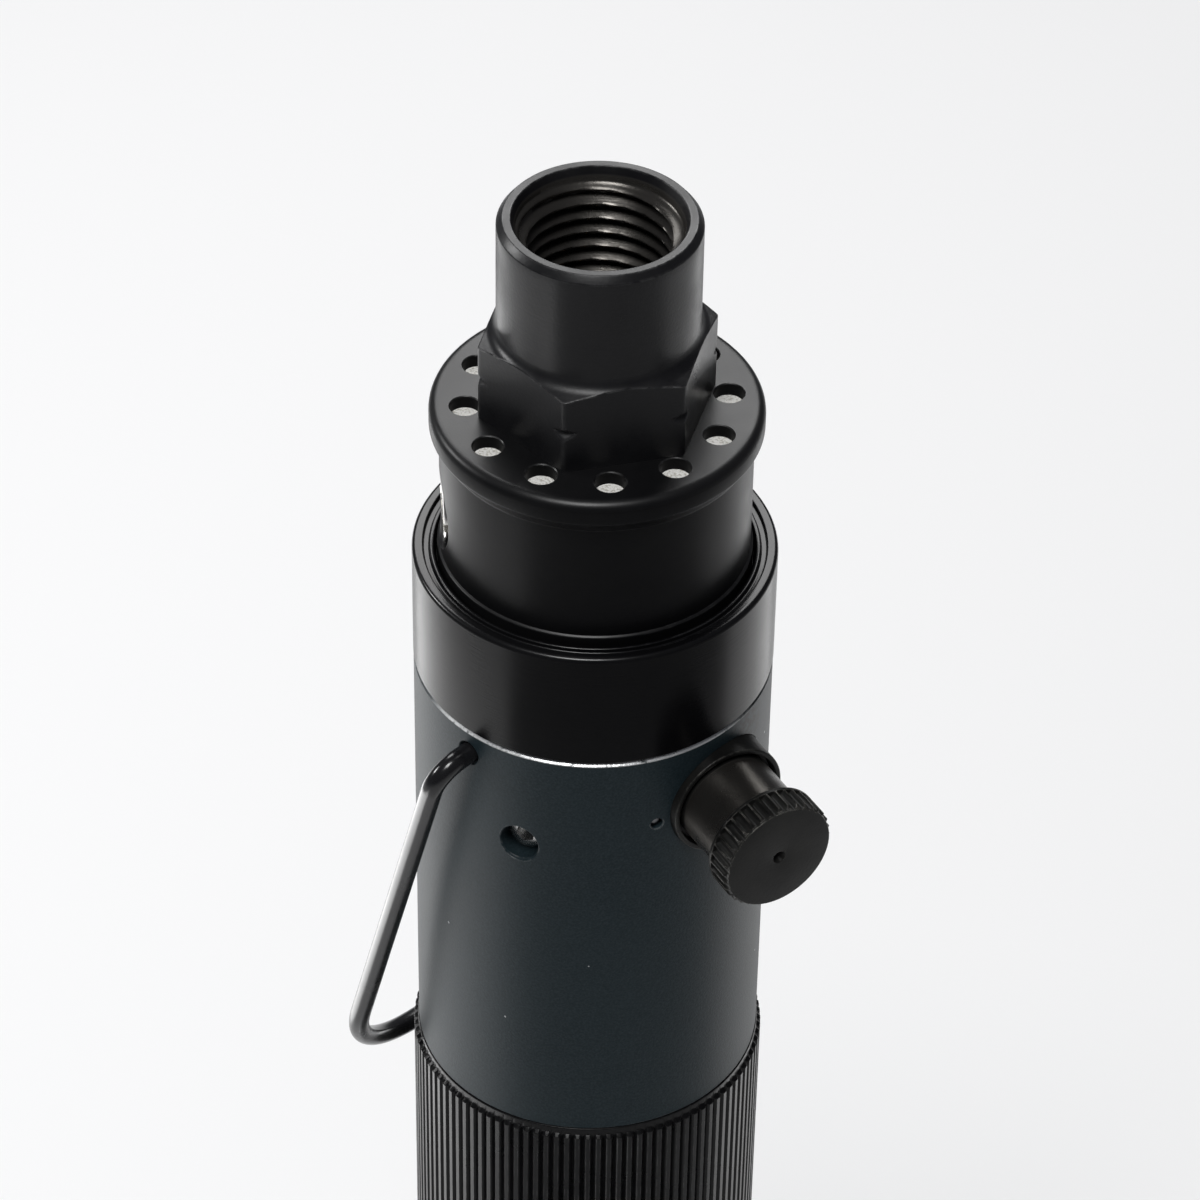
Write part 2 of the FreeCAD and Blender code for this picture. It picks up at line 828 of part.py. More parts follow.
def inlet_seal():
    return Part.makeTorus(seal_ring_radius, seal_wire, Vector(0, 0, valve_top - seal_wire + 0.01))


def valve_seat():
    return turned([
        (seat_bore, valve_bottom),
        (chamber_radius - fit_gap, valve_bottom),
        (chamber_radius - fit_gap, seat_insert_top),
        (seat_bore, seat_insert_top),
    ])


def valve_ball():
    return Part.makeSphere(ball_radius, Vector(0, 0, ball_height))


def valve_spring():
    outer = ball_radius - 0.2
    bottom = ball_height + ball_radius + face_gap
    top = valve_bottom + chamber_height
    return tube(outer, outer - valve_spring_wall, bottom, top - bottom)


def end_gasket():
    sheet = tube(inner_radius - run_gap, motor_bearing_outer - 0.6, rear_plate_top, gasket_thickness)
    start = Vector(0, 0, rear_plate_top - 1)
    holes = [Part.makeCylinder(port_radius, 4, place + start) for place in port_places()]
    return cut_all(sheet, holes)


def end_plate(bottom, bearing_bottom):
    plate = disc(inner_radius, bottom, plate_thickness)
    pocket = disc(motor_bearing_outer, bearing_bottom, motor_bearing_width)
    bore = disc(journal_radius + free_gap, bottom - 1, plate_thickness + 2)
    return plate.cut(pocket).cut(bore)


def rear_end_plate():
    plate = end_plate(liner_top, rear_plate_top - motor_bearing_width)
    holes = [Part.makeCylinder(port_radius, plate_thickness + 2, place + Vector(0, 0, liner_top - 1))
             for place in port_places()]
    return cut_all(plate, holes + [liner_pin_hole(liner_top - 1)])


def front_end_plate():
    return end_plate(ring_top, ring_top)


def liner_pin_place():
    return direction(180) * (inner_radius - liner_pin_inset)


def liner_pin_hole(bottom):
    return Part.makeCylinder(liner_pin_radius + 0.02, 4, liner_pin_place() + Vector(0, 0, bottom))


def liner_pin():
    return Part.makeCylinder(liner_pin_radius, liner_pin_length, liner_pin_place() + Vector(0, 0, liner_top - 2.2))


def cylinder_liner():
    body = disc(inner_radius, liner_bottom, liner_length)
    centre = Vector(0, -liner_offset, liner_bottom - 1)
    bore = Part.makeCylinder(liner_bore, liner_length + 2, centre)
    cuts = [bore, liner_pin_hole(liner_top - 3)]
    for azimuth in (-35, 0, 35):
        for step in range(liner_ports):
            height = liner_bottom + liner_length * (step + 1) / (liner_ports + 1)
            cuts.append(radial_rod(port_radius, azimuth, height, rotor_radius, cutter_run))
    return cut_all(body, cuts)


def rotor():
    body = disc(rotor_radius, liner_bottom + run_gap, liner_length - 2 * run_gap)
    shaft_top = rear_plate_top - run_gap
    pinion_bottom = planet_top_1 - planet_width
    journal = disc(journal_radius, ring_top + run_gap, shaft_top - ring_top - run_gap)
    pinion = outer_gear(sun_teeth, pinion_bottom, ring_top - pinion_bottom + 0.5, 0)
    slot = Part.makeBox(rotor_radius, vane_width + run_gap, liner_length + 2)
    slot_start = rotor_radius - vane_depth - 2 * run_gap
    slot.translate(Vector(slot_start, -(vane_width + run_gap) / 2, liner_bottom - 1))
    whole = body.fuse([journal, pinion]).removeSplitter()
    rod_bore = disc(rod_radius + 2 * run_gap, pinion_bottom - 1, shaft_top - pinion_bottom + 2)
    return cut_all(whole, copies_round(slot, vane_count, 90) + [rod_bore])


def vanes():
    vane = Part.makeBox(vane_depth, vane_width, liner_length - 4 * run_gap)
    vane.translate(Vector(rotor_radius - vane_depth - run_gap, -vane_width / 2, liner_bottom + 2 * run_gap))
    return Part.makeCompound(copies_round(vane, vane_count, 90))


def ring_gear():
    return inner_gear(ring_teeth, inner_radius, case_top, ring_top - case_top, 0)


def planet_place(index):
    return direction(90) * gear_radius, 360 * index / planet_count


def planet(index, top):
    """One planet gear, turned round the tool with its place in the stage."""
    gear = outer_gear(planet_teeth, top - planet_width, planet_width, 180 / planet_teeth)
    gear = gear.cut(disc(planet_pin_radius + fit_gap, top - planet_width - 1, planet_width + 2))
    place, angle = planet_place(index)
    gear.translate(place)
    return turn_about_axis(gear, angle)


def carrier(top, bottom, pin_top):
    """Plate of one stage with its three planet pins."""
    plate = disc(carrier_radius, bottom, top - bottom)
    pins = []
    for index in range(planet_count):
        place, angle = planet_place(index)
        pin = Part.makeCylinder(planet_pin_radius, pin_top - bottom, place + Vector(0, 0, bottom))
        pins.append(turn_about_axis(pin, angle))
    return plate.fuse(pins)


def carrier_first():
    sun_bottom = planet_top_2 - planet_width
    body = carrier(carrier_top_1, carrier_bottom_1, planet_top_1 + stage_gap)
    sun = outer_gear(sun_teeth, sun_bottom, carrier_bottom_1 - sun_bottom + 0.5, 0)
    bore = disc(rod_radius + 2 * run_gap, sun_bottom - 1, carrier_top_1 - sun_bottom + 2)
    return body.fuse(sun).removeSplitter().cut(bore)


def carrier_second():
    shaft_bottom = case_top - output_bearing_width - stage_gap
    stub_bottom = driver_top - driver_stub_length
    body = carrier(carrier_top_2, carrier_bottom_2, planet_top_2 + stage_gap)
    shaft = disc(output_radius, shaft_bottom, carrier_bottom_2 - shaft_bottom + 0.5)
    stub = disc(driver_stub_radius, stub_bottom, shaft_bottom - stub_bottom + 0.5)
    flat = Part.makeBox(driver_stub_radius, 2 * driver_stub_radius, shaft_bottom - stub_bottom)
    flat.translate(Vector(driver_flat, -driver_stub_radius, stub_bottom - 0.01))
    bore = disc(rod_radius + 2 * run_gap, stub_bottom - 1, carrier_top_2 - stub_bottom + 2)
    return body.fuse([shaft, stub]).removeSplitter().cut(flat).cut(bore)


def clutch_driver():
    body = disc(clutch_radius, driver_bottom, driver_height)
    stub_bore = disc(driver_stub_radius + fit_gap, driver_top - driver_stub_length - fit_gap, driver_height)
    flat = Part.makeBox(2 * driver_stub_radius, 4 * driver_stub_radius, 2 * driver_height)
    flat.translate(Vector(driver_flat + fit_gap, -2 * driver_stub_radius, driver_bottom))
    bore = disc(rod_radius + 2 * run_gap, driver_bottom - 1, driver_height + 2)
    return cut_all(body, [stub_bore.cut(flat), bore] + clutch_ball_shapes(fit_gap))


def clutch_ball_shapes(extra):
    middle = driver_bottom - clutch_face_gap / 2
    ball = Part.makeSphere(clutch_ball_radius + extra, Vector(clutch_ball_circle, 0, middle))
    return copies_round(ball, clutch_ball_count, 45)


def clutch_balls():
    return Part.makeCompound(clutch_ball_shapes(0))


def clutch_cup():
    body = turned([
        (0, hub_bottom),
        (cup_hub_radius, hub_bottom),
        (cup_hub_radius, cup_bottom),
        (clutch_radius, cup_bottom),
        (clutch_radius, cup_top),
        (0, cup_top),
    ])
    hex_bore_top = spindle_top + start_travel + 2 * free_gap
    hex_bore = hexagon(spindle_hex + 2 * run_gap, hub_bottom - 1, hex_bore_top - hub_bottom + 1)
    rod_bore = disc(rod_radius + 2 * run_gap, hub_bottom, cup_top - hub_bottom + 1)
    return cut_all(body, [hex_bore, rod_bore] + clutch_ball_shapes(fit_gap))


def thrust_washer():
    return tube(cup_hub_radius + free_gap + clutch_spring_wall, cup_hub_radius + free_gap,
                washer_bottom, washer_thickness)


def clutch_spring():
    inner = cup_hub_radius + 2 * free_gap
    bottom = washer_bottom + washer_thickness
    return tube(inner + clutch_spring_wall - free_gap, inner, bottom, cup_bottom - bottom)


def lug(width, reach, bottom, height):
    block = Part.makeBox(reach, width, height)
    block.translate(Vector(0, -width / 2, bottom))
    return block


def spring_seat():
    inner = cup_hub_radius + 2 * free_gap
    ring = disc(case_bore - run_gap, seat_bottom, seat_ring_height)
    lugs = copies_round(lug(seat_lug_width, seat_lug_reach, seat_bottom, seat_ring_height), 3, 30)
    return ring.fuse(lugs).removeSplitter().cut(disc(inner, seat_bottom - 1, seat_ring_height + 2))


def case_thread_radius():
    return torque_ring_radius - 2.2


def torque_ring():
    bore = case_thread_radius() + run_gap
    body = fluted(torque_ring_radius, torque_flute_depth, torque_flutes, torque_bottom, torque_ring_height)
    crown = turned([
        (bore, torque_bottom),
        (torque_ring_radius - 0.6, torque_bottom),
        (torque_ring_radius + 0.01, torque_bottom + 0.6),
        (torque_ring_radius + 0.01, torque_top - 0.6),
        (torque_ring_radius - 0.6, torque_top),
        (bore, torque_top),
    ])
    recess_height = seat_ring_height + seat_travel + 2 * free_gap
    recess = disc(seat_lug_reach + free_gap, seat_bottom - free_gap, recess_height)
    return body.common(crown).cut(recess)


def clutch_case():
    pocket_bottom = case_top - output_bearing_width
    lip_bottom = pocket_bottom - case_lip_length
    bottom = nose_bottom + nose_cone_height + 1.0
    thread = case_thread_radius()
    middle = (case_shoulder + grip_bottom) / 2
    body = turned([
        (case_bore, bottom),
        (thread, bottom),
        (thread, case_shoulder),
        (case_radius - edge_break, case_shoulder),
        (case_radius, case_shoulder + edge_break),
        (case_radius, middle - case_groove_half - case_groove_depth),
        (case_radius - case_groove_depth, middle - case_groove_half),
        (case_radius - case_groove_depth, middle + case_groove_half),
        (case_radius, middle + case_groove_half + case_groove_depth),
        (case_radius, grip_bottom - edge_break),
        (case_radius - edge_break, grip_bottom),
        (inner_radius, grip_bottom),
        (inner_radius, case_top),
        (output_bearing_outer, case_top),
        (output_bearing_outer, pocket_bottom),
        (case_lip_bore, pocket_bottom),
        (case_lip_bore, lip_bottom),
        (case_bore, lip_bottom),
    ])
    slot = lug(seat_lug_width + 2 * free_gap, tube_radius, seat_bottom - free_gap,
               seat_ring_height + seat_travel + 2 * free_gap)
    return cut_all(body, copies_round(slot, 3, 30))


def nose_cap():
    cone_top = nose_bottom + nose_cone_height
    thread = case_thread_radius() + fit_gap
    bush_outer = spindle_radius + fit_gap + bush_wall
    return turned([
        (bush_outer + fit_gap, nose_bottom),
        (nose_tip_radius - 0.6, nose_bottom),
        (nose_tip_radius, nose_bottom + 0.6),
        (case_radius - 0.1, cone_top),
        (case_radius, cone_top + 0.8),
        (case_radius, nose_top - 0.5),
        (case_radius - 0.5, nose_top),
        (thread, nose_top),
        (thread, cone_top + 1.0 - face_gap),
        (case_bore, cone_top + 1.0 - face_gap),
        (case_bore, bush_shoulder),
        (bush_outer + fit_gap, bush_shoulder),
    ])


def nose_bush():
    bore = spindle_radius + fit_gap
    return turned([
        (bore, bush_bottom),
        (bore + bush_wall, bush_bottom),
        (bore + bush_wall, bush_shoulder),
        (bush_flange_radius, bush_shoulder),
        (bush_flange_radius, bush_shoulder + bush_flange_height),
        (bore, bush_shoulder + bush_flange_height),
    ])


def spindle():
    bottom = chuck_depth + 2.0
    body = turned([
        (0, bottom),
        (spindle_radius - 0.5, bottom),
        (spindle_radius, bottom + 0.5),
        (spindle_radius, collar_seat),
        (spindle_collar_radius, collar_seat),
        (spindle_collar_radius, collar_end),
        (0, collar_end),
    ])
    shank = hexagon(spindle_hex, collar_end - 0.5, spindle_hex_length + 0.5)
    socket = disc(rod_radius + 2 * run_gap, spindle_top - rod_socket_depth, rod_socket_depth + 1)
    return body.fuse(shank).removeSplitter().cut(socket)


def start_spring():
    inner = spindle_hex / math.sqrt(3) + free_gap
    return tube(inner + start_spring_wall, inner, collar_end, hub_bottom - collar_end - face_gap)


def push_rod():
    bottom = spindle_top - rod_socket_depth + 0.02
    top = ball_height - ball_radius - 0.02
    return disc(rod_radius, bottom, top - bottom)


def chuck_bell():
    inside = chuck_radius - chuck_wall
    body = turned([
        (inside + 0.4, 0),
        (chuck_radius - 0.5, 0),
        (chuck_radius, 0.5),
        (chuck_radius, flare_bottom - 2.0),
        (chuck_radius - 0.6, flare_bottom - 0.6),
        (chuck_radius - 2.0, flare_bottom + 0.6),
        (chuck_hub_radius + 1.2, flare_bottom + chuck_flare - 1.2),
        (chuck_hub_radius, flare_bottom + chuck_flare + 0.6),
        (chuck_hub_radius, chuck_height - 0.6),
        (chuck_hub_radius - 0.6, chuck_height),
        (spindle_radius + fit_gap, chuck_height),
        (spindle_radius + fit_gap, chuck_depth),
        (chuck_hub_radius, chuck_depth),
        (inside - 2.0, flare_bottom - 1.4),
        (inside, flare_bottom - 4.0),
        (inside, 0.4),
    ])
    holes = []
    for azimuth in (chuck_screw_azimuth, chuck_screw_azimuth + 180):
        holes.append(radial_rod(chuck_screw_radius + fit_gap, azimuth, chuck_screw_height, 0, chuck_radius))
    return cut_all(body, holes)


def chuck_liner():
    outer = chuck_radius - chuck_wall - run_gap
    top = flare_bottom - liner_top_drop
    return turned([
        (outer - liner_wall, liner_mouth_gap),
        (outer, liner_mouth_gap),
        (outer, top),
        (outer - liner_wall - liner_lip, top),
        (outer - liner_wall - 0.9 * liner_lip, top - 0.5 * liner_lip),
        (outer - 1.6 * liner_wall, liner_mouth_gap + 1.5 * liner_wall),
    ])


def chuck_screws():
    face = chuck_hub_radius - 0.8
    start = spindle_radius + 0.1
    screws = []
    for azimuth in (chuck_screw_azimuth, chuck_screw_azimuth + 180):
        screw = radial_rod(chuck_screw_radius, azimuth, chuck_screw_height, start, face - start)
        socket = lay_along(hexagon(2.0, 0, 3), azimuth, chuck_screw_height, face - 1.6)
        screws.append(screw.cut(socket))
    return Part.makeCompound(screws)


def grip_sleeve():
    body = fluted(grip_radius, grip_flute_depth, grip_flutes, grip_bottom, grip_height)
    smooth = grip_radius - grip_flute_depth
    ends = tube(smooth, grip_radius - grip_wall, grip_bottom, grip_height)
    middle = body.cut(disc(smooth - 0.2, grip_bottom - 1, grip_height + 2))
    fluted_height = grip_height - 2 * grip_rim
    middle = middle.common(tube(grip_radius + 1, smooth - 1, grip_bottom + grip_rim, fluted_height))
    return ends.fuse(middle)


def motor_bearings():
    rear = ball_bearing(journal_radius, motor_bearing_outer, motor_bearing_width,
                        rear_plate_top - motor_bearing_width, 8)
    front = ball_bearing(journal_radius, motor_bearing_outer, motor_bearing_width, ring_top, 8)
    output = ball_bearing(output_radius, output_bearing_outer, output_bearing_width,
                          case_top - output_bearing_width, 11)
    return rear, front, output


def all_parts():
    rear, front, output = motor_bearings()
    parts = {
        "inlet_fitting": inlet_fitting(),
        "inlet_strainer": inlet_strainer(),
        "exhaust_cap": exhaust_cap(),
        "silencer_disc": silencer_disc(),
        "regulator_screw": regulator_screw(),
        "regulator_seal": regulator_seal(),
        "collar_ring": collar_ring(),
        "body_tube": body_tube(),
        "bail": bail(),
        "valve_bush": valve_bush(),
        "reverse_knob": reverse_knob(),
        "reverse_spool": reverse_spool(),
        "spool_seal": spool_seal(),
        "lock_pin": lock_pin(),
        "set_screw": set_screw(),
        "valve_body": valve_body(),
        "inlet_seal": inlet_seal(),
        "valve_seat": valve_seat(),
        "valve_ball": valve_ball(),
        "valve_spring": valve_spring(),
        "end_gasket": end_gasket(),
        "rear_end_plate": rear_end_plate(),
        "rear_bearing_outer": rear[0],
        "rear_bearing_inner": rear[1],
        "front_bearing_outer": front[0],
        "front_bearing_inner": front[1],
        "output_bearing_outer": output[0],
        "output_bearing_inner": output[1],
        "bearing_balls": Part.makeCompound(rear[2] + front[2] + output[2]),
        "cylinder_liner": cylinder_liner(),
        "liner_pin": liner_pin(),
        "rotor": rotor(),
        "vanes": vanes(),
        "front_end_plate": front_end_plate(),
        "ring_gear": ring_gear(),
        "carrier_1": carrier_first(),
        "carrier_2": carrier_second(),
        "clutch_driver": clutch_driver(),
        "clutch_balls": clutch_balls(),
        "clutch_cup": clutch_cup(),
        "clutch_spring": clutch_spring(),
        "thrust_washer": thrust_washer(),
        "spring_seat": spring_seat(),
        "torque_ring": torque_ring(),
        "clutch_case": clutch_case(),
        "nose_cap": nose_cap(),
        "nose_bush": nose_bush(),
        "spindle": spindle(),
        "start_spring": start_spring(),
        "push_rod": push_rod(),
        "chuck_bell": chuck_bell(),
        "chuck_liner": chuck_liner(),
        "chuck_screws": chuck_screws(),
        "grip_sleeve": grip_sleeve(),
    }
    for stage, top in ((1, planet_top_1), (2, planet_top_2)):
        for index in range(planet_count):
            parts[f"planet_{stage}{'abc'[index]}"] = planet(index, top)
    return parts


def main():
    os.makedirs("parts", exist_ok=True)
    for name, shape in all_parts().items():
        shape.exportStep(f"parts/{name}.step")
        print(f"{name:22s} solids {len(shape.Solids):2d} valid {shape.isValid()} volume {shape.Volume:10.1f}")


main()
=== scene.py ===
import json
import math

import bmesh
import bpy
from mathutils import Matrix, Vector


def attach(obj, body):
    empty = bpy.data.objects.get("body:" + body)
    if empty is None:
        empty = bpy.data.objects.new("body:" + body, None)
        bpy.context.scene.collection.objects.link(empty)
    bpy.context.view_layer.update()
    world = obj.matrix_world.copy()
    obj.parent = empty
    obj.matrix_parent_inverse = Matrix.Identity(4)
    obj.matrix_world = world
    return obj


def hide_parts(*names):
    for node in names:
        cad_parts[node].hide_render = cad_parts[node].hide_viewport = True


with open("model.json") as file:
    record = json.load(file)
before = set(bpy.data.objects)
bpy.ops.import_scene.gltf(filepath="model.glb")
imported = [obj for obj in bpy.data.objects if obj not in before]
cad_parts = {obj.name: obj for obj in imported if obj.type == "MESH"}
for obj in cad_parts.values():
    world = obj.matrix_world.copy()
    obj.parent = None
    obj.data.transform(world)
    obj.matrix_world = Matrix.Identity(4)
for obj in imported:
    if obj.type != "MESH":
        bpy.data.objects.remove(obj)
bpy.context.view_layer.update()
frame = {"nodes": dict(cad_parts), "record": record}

MM = 0.001

# Sizes of the tool in millimetres, as in the part's source
NOSE_BOTTOM = 42.0
CASE_BOTTOM = 54.0
CASE_RADIUS = 14.6
CASE_SHOULDER = 74.0
TUBE_TOP = 203.6
GRIP_BOTTOM = 95.2
GRIP_TOP = 161.2
COLLAR_TOP = 214.8
FLANGE_TOP = 229.4
HEX_TOP = 236.7
INLET_TOP = 247.2
TUBE_RADIUS = 14.97
TUBE_BORE = 12.0
NECK_RADIUS = 12.7
FLANGE_RADIUS = 13.5
SPIGOT_RADIUS = 13.3
INLET_RADIUS = 8.12
HEX_ACROSS = 17.0
HEX_TURN = 14.5
CHAMFER_SLOPE = math.radians(21.5)
HEX_CORNER = HEX_ACROSS / math.sqrt(3)
GROOVE_HALF = 1.65
GROOVE_DEPTH = 0.55
FLARE = 1.3
BORE_RADIUS = 6.98
THREAD_MINOR = 11.445 / 2
THREAD_MAJOR = 13.157 / 2
THREAD_PITCH = 1.337
EXHAUST_HOLES = 12
EXHAUST_HOLE_RADIUS = 1.25
EXHAUST_CIRCLE = 10.6
BAIL_AZIMUTH = -42.4
BAIL_HEIGHT = TUBE_TOP - 2.4
BAIL_WIRE = 0.9
BAIL_SWING = math.radians(19.0)
BAIL_LENGTH = 53.4
BAIL_REACH = 3.66
BAIL_LEAN = math.radians(5.05)
KNOB_AZIMUTH = 31.0
KNOB_HEIGHT = TUBE_TOP - 6.8
KNOB_OFFSET = 3.8
KNOB_RADIUS = 5.1
KNOB_NECK_RADIUS = 4.3
KNOB_NECK_LENGTH = 5.8
KNOB_HEAD_LENGTH = 2.75
KNOB_FLUTES = 36
BUSH_RADIUS = 5.1
BUSH_FACE = TUBE_RADIUS + 0.73
BUSH_RECESS = 1.0
GRIP_RADIUS = 15.4
GRIP_RIBS = 105
TORQUE_RADIUS = 14.8
TORQUE_FLUTES = 40
CHUCK_RADIUS = 22.0
CHUCK_NECK_RADIUS = 10.0
CHUCK_TOP = 38.0

# Azimuth in degrees from the front, and height in millimetres
LOCK_PIN = (21.4, TUBE_TOP - 7.3)
SET_SCREW = (-23.2, TUBE_TOP - 9.9)
REGULATOR = (-85.0, FLANGE_TOP - 10.2)

# The photograph's view, in metres and degrees
CAMERA_PLACE = (0, -0.303045, 0.463920)
CAMERA_YAW = math.radians(0.0913)
CAMERA_PITCH = math.radians(40.13)
CAMERA_ROLL = math.radians(0.991)
CAMERA_LENS = 143.95


# Shapes

def outward(azimuth):
    """Level direction away from the axis; azimuth 0 is the front."""
    angle = math.radians(azimuth)
    return Vector((math.sin(angle), -math.cos(angle), 0.0))


def sideways(azimuth):
    """Level direction along the wall, to the right of outward."""
    angle = math.radians(azimuth)
    return Vector((math.cos(angle), math.sin(angle), 0.0))


def laid_out(azimuth, height, reach=0.0, offset=0.0):
    """Matrix that takes a piece built up its own Z and points it outwards from the tool."""
    place = outward(azimuth) * reach + sideways(azimuth) * offset + Vector((0, 0, height))
    turn = Matrix((sideways(azimuth), Vector((0, 0, 1)), outward(azimuth))).transposed()
    return Matrix.Translation(place) @ turn.to_4x4()


def softened(corners, steps=4):
    """Closed profile of (radius, height, rounding) with each corner turned into an arc."""
    points = []
    count = len(corners)
    for index, (radius, height, rounding) in enumerate(corners):
        here = Vector((radius, height))
        if not rounding:
            points.append((radius, height))
            continue
        before = Vector(corners[index - 1][:2]) - here
        after = Vector(corners[(index + 1) % count][:2]) - here
        half = before.angle(after) / 2
        reach = min(rounding / math.tan(half), 0.45 * before.length, 0.45 * after.length)
        rounding = reach * math.tan(half)
        middle = (before.normalized() + after.normalized()).normalized()
        centre = here + middle * (rounding / math.sin(half))
        first = here + before.normalized() * reach - centre
        last = here + after.normalized() * reach - centre
        sweep = first.angle_signed(last)
        for step in range(steps + 1):
            arm = first.copy()
            arm.rotate(Matrix.Rotation(-sweep * step / steps, 2))
            points.append((centre.x + arm.x, centre.y + arm.y))
    return points


def made(name, bm, matrix=None):
    """Mesh object in metres from a bmesh drawn in millimetres."""
    bmesh.ops.remove_doubles(bm, verts=bm.verts, dist=1e-4)
    bmesh.ops.dissolve_degenerate(bm, edges=bm.edges, dist=1e-5)
    bmesh.ops.recalc_face_normals(bm, faces=bm.faces)
    mesh = bpy.data.meshes.new(name)
    bm.to_mesh(mesh)
    bm.free()
    if matrix is not None:
        mesh.transform(matrix)
    mesh.transform(Matrix.Scale(MM, 4))
    piece = bpy.data.objects.new(name, mesh)
    bpy.context.scene.collection.objects.link(piece)
    return piece


def revolved(name, profile, segments=192, matrix=None, at=None):
    """Turns a closed profile round Z. at(angle, index, radius, height) may move each point."""
    bm = bmesh.new()
    rings = []
    for segment in range(segments):
        angle = 2 * math.pi * segment / segments
        ring = []
        for index, (radius, height) in enumerate(profile):
            if at:
                radius, height = at(angle, index, radius, height)
            ring.append(bm.verts.new((radius * math.cos(angle), radius * math.sin(angle), height)))
        rings.append(ring)
    count = len(profile)
    for segment in range(segments):
        this = rings[segment]
        following = rings[(segment + 1) % segments]
        for index in range(count):
            ahead = (index + 1) % count
            bm.faces.new((this[index], following[index], following[ahead], this[ahead]))
    return made(name, bm, matrix)


def swept(name, path, radius, sides=32):
    """Round wire along a dense line of points."""
    bm = bmesh.new()
    rings = []
    side = Vector((0, 0, 1))
    for index, point in enumerate(path):
        before = path[max(index - 1, 0)]
        after = path[min(index + 1, len(path) - 1)]
        ahead = (after - before).normalized()
        side = (side - ahead * side.dot(ahead)).normalized()
        other = ahead.cross(side)
        ring = []
        for step in range(sides):
            angle = 2 * math.pi * step / sides
            arm = side * math.cos(angle) + other * math.sin(angle)
            ring.append(bm.verts.new(point + arm * radius))
        rings.append(ring)
    for this, following in zip(rings, rings[1:]):
        for step in range(sides):
            ahead = (step + 1) % sides
            bm.faces.new((this[step], this[ahead], following[ahead], following[step]))
    bm.faces.new(list(reversed(rings[0])))
    bm.faces.new(rings[-1])
    return made(name, bm)


def prism(name, sides, across, bottom, top, matrix=None, turn=0.0):
    """Straight bar with a regular outline, measured across its flats."""
    bm = bmesh.new()
    corner = across / 2 / math.cos(math.pi / sides)
    low, high = [], []
    for step in range(sides):
        angle = math.radians(turn) + 2 * math.pi * step / sides
        low.append(bm.verts.new((corner * math.cos(angle), corner * math.sin(angle), bottom)))
        high.append(bm.verts.new((corner * math.cos(angle), corner * math.sin(angle), top)))
    bm.faces.new(list(reversed(low)))
    bm.faces.new(high)
    for step in range(sides):
        ahead = (step + 1) % sides
        bm.faces.new((low[step], low[ahead], high[ahead], high[step]))
    return made(name, bm, matrix)


def drill(name, radius, start, face, end, flare, matrix, segments=48):
    """Cutter for a hole that runs outwards, with a small flare at the surface it breaks."""
    profile = [
        (0, start),
        (radius, start),
        (radius, face - flare),
        (radius + flare + (end - face), end),
        (0, end),
    ]
    return revolved(name, profile, segments, matrix)


def in_millimetres(matrix):
    """The same move for a mesh that is already in metres."""
    return Matrix.Scale(MM, 4) @ matrix @ Matrix.Scale(1 / MM, 4)


def cut(piece, cutters):
    """Takes the cutters out of a piece and deletes them."""
    for cutter in cutters:
        modifier = piece.modifiers.new("cut", "BOOLEAN")
        modifier.operation = "DIFFERENCE"
        modifier.solver = "EXACT"
        modifier.object = cutter
    bpy.context.view_layer.update()
    shaped = piece.evaluated_get(bpy.context.evaluated_depsgraph_get())
    mesh = bpy.data.meshes.new_from_object(shaped)
    mesh.name = piece.name
    piece.modifiers.clear()
    piece.data = mesh
    for cutter in cutters:
        bpy.data.objects.remove(cutter)


def dressed(piece, body, node, material, crease=32.0):
    """Smooths a piece, gives it its finish and ties it to the frame."""
    mesh = piece.data
    mesh.materials.clear()
    mesh.materials.append(material)
    mesh.shade_smooth()
    mesh.set_sharp_from_angle(angle=math.radians(crease))
    even = piece.modifiers.new("even_normals", "WEIGHTED_NORMAL")
    even.keep_sharp = True
    even.weight = 80
    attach(piece, body)
    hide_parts(node)


def ramped(count, radius, depth, land, curve=1.4):
    """Radius at an angle of a fluted rim. A higher curve gives rounder flutes, sharper ridges."""
    def at(angle):
        place = (angle * count / (2 * math.pi)) % 1.0
        away = abs(place - 0.5) * 2
        rise = min(1.0, max(0.0, away / (1 - land)))
        return radius - depth * (1 - rise ** curve)
    return at


# Materials

def new_group(name, inputs, outputs):
    """Shader group with sockets given as (name, type, default) and (name, type)."""
    group = bpy.data.node_groups.new(name, "ShaderNodeTree")
    for label, kind, default in inputs:
        socket = group.interface.new_socket(name=label, in_out="INPUT", socket_type=kind)
        if default is not None:
            socket.default_value = default
    for label, kind in outputs:
        group.interface.new_socket(name=label, in_out="OUTPUT", socket_type=kind)
    return group


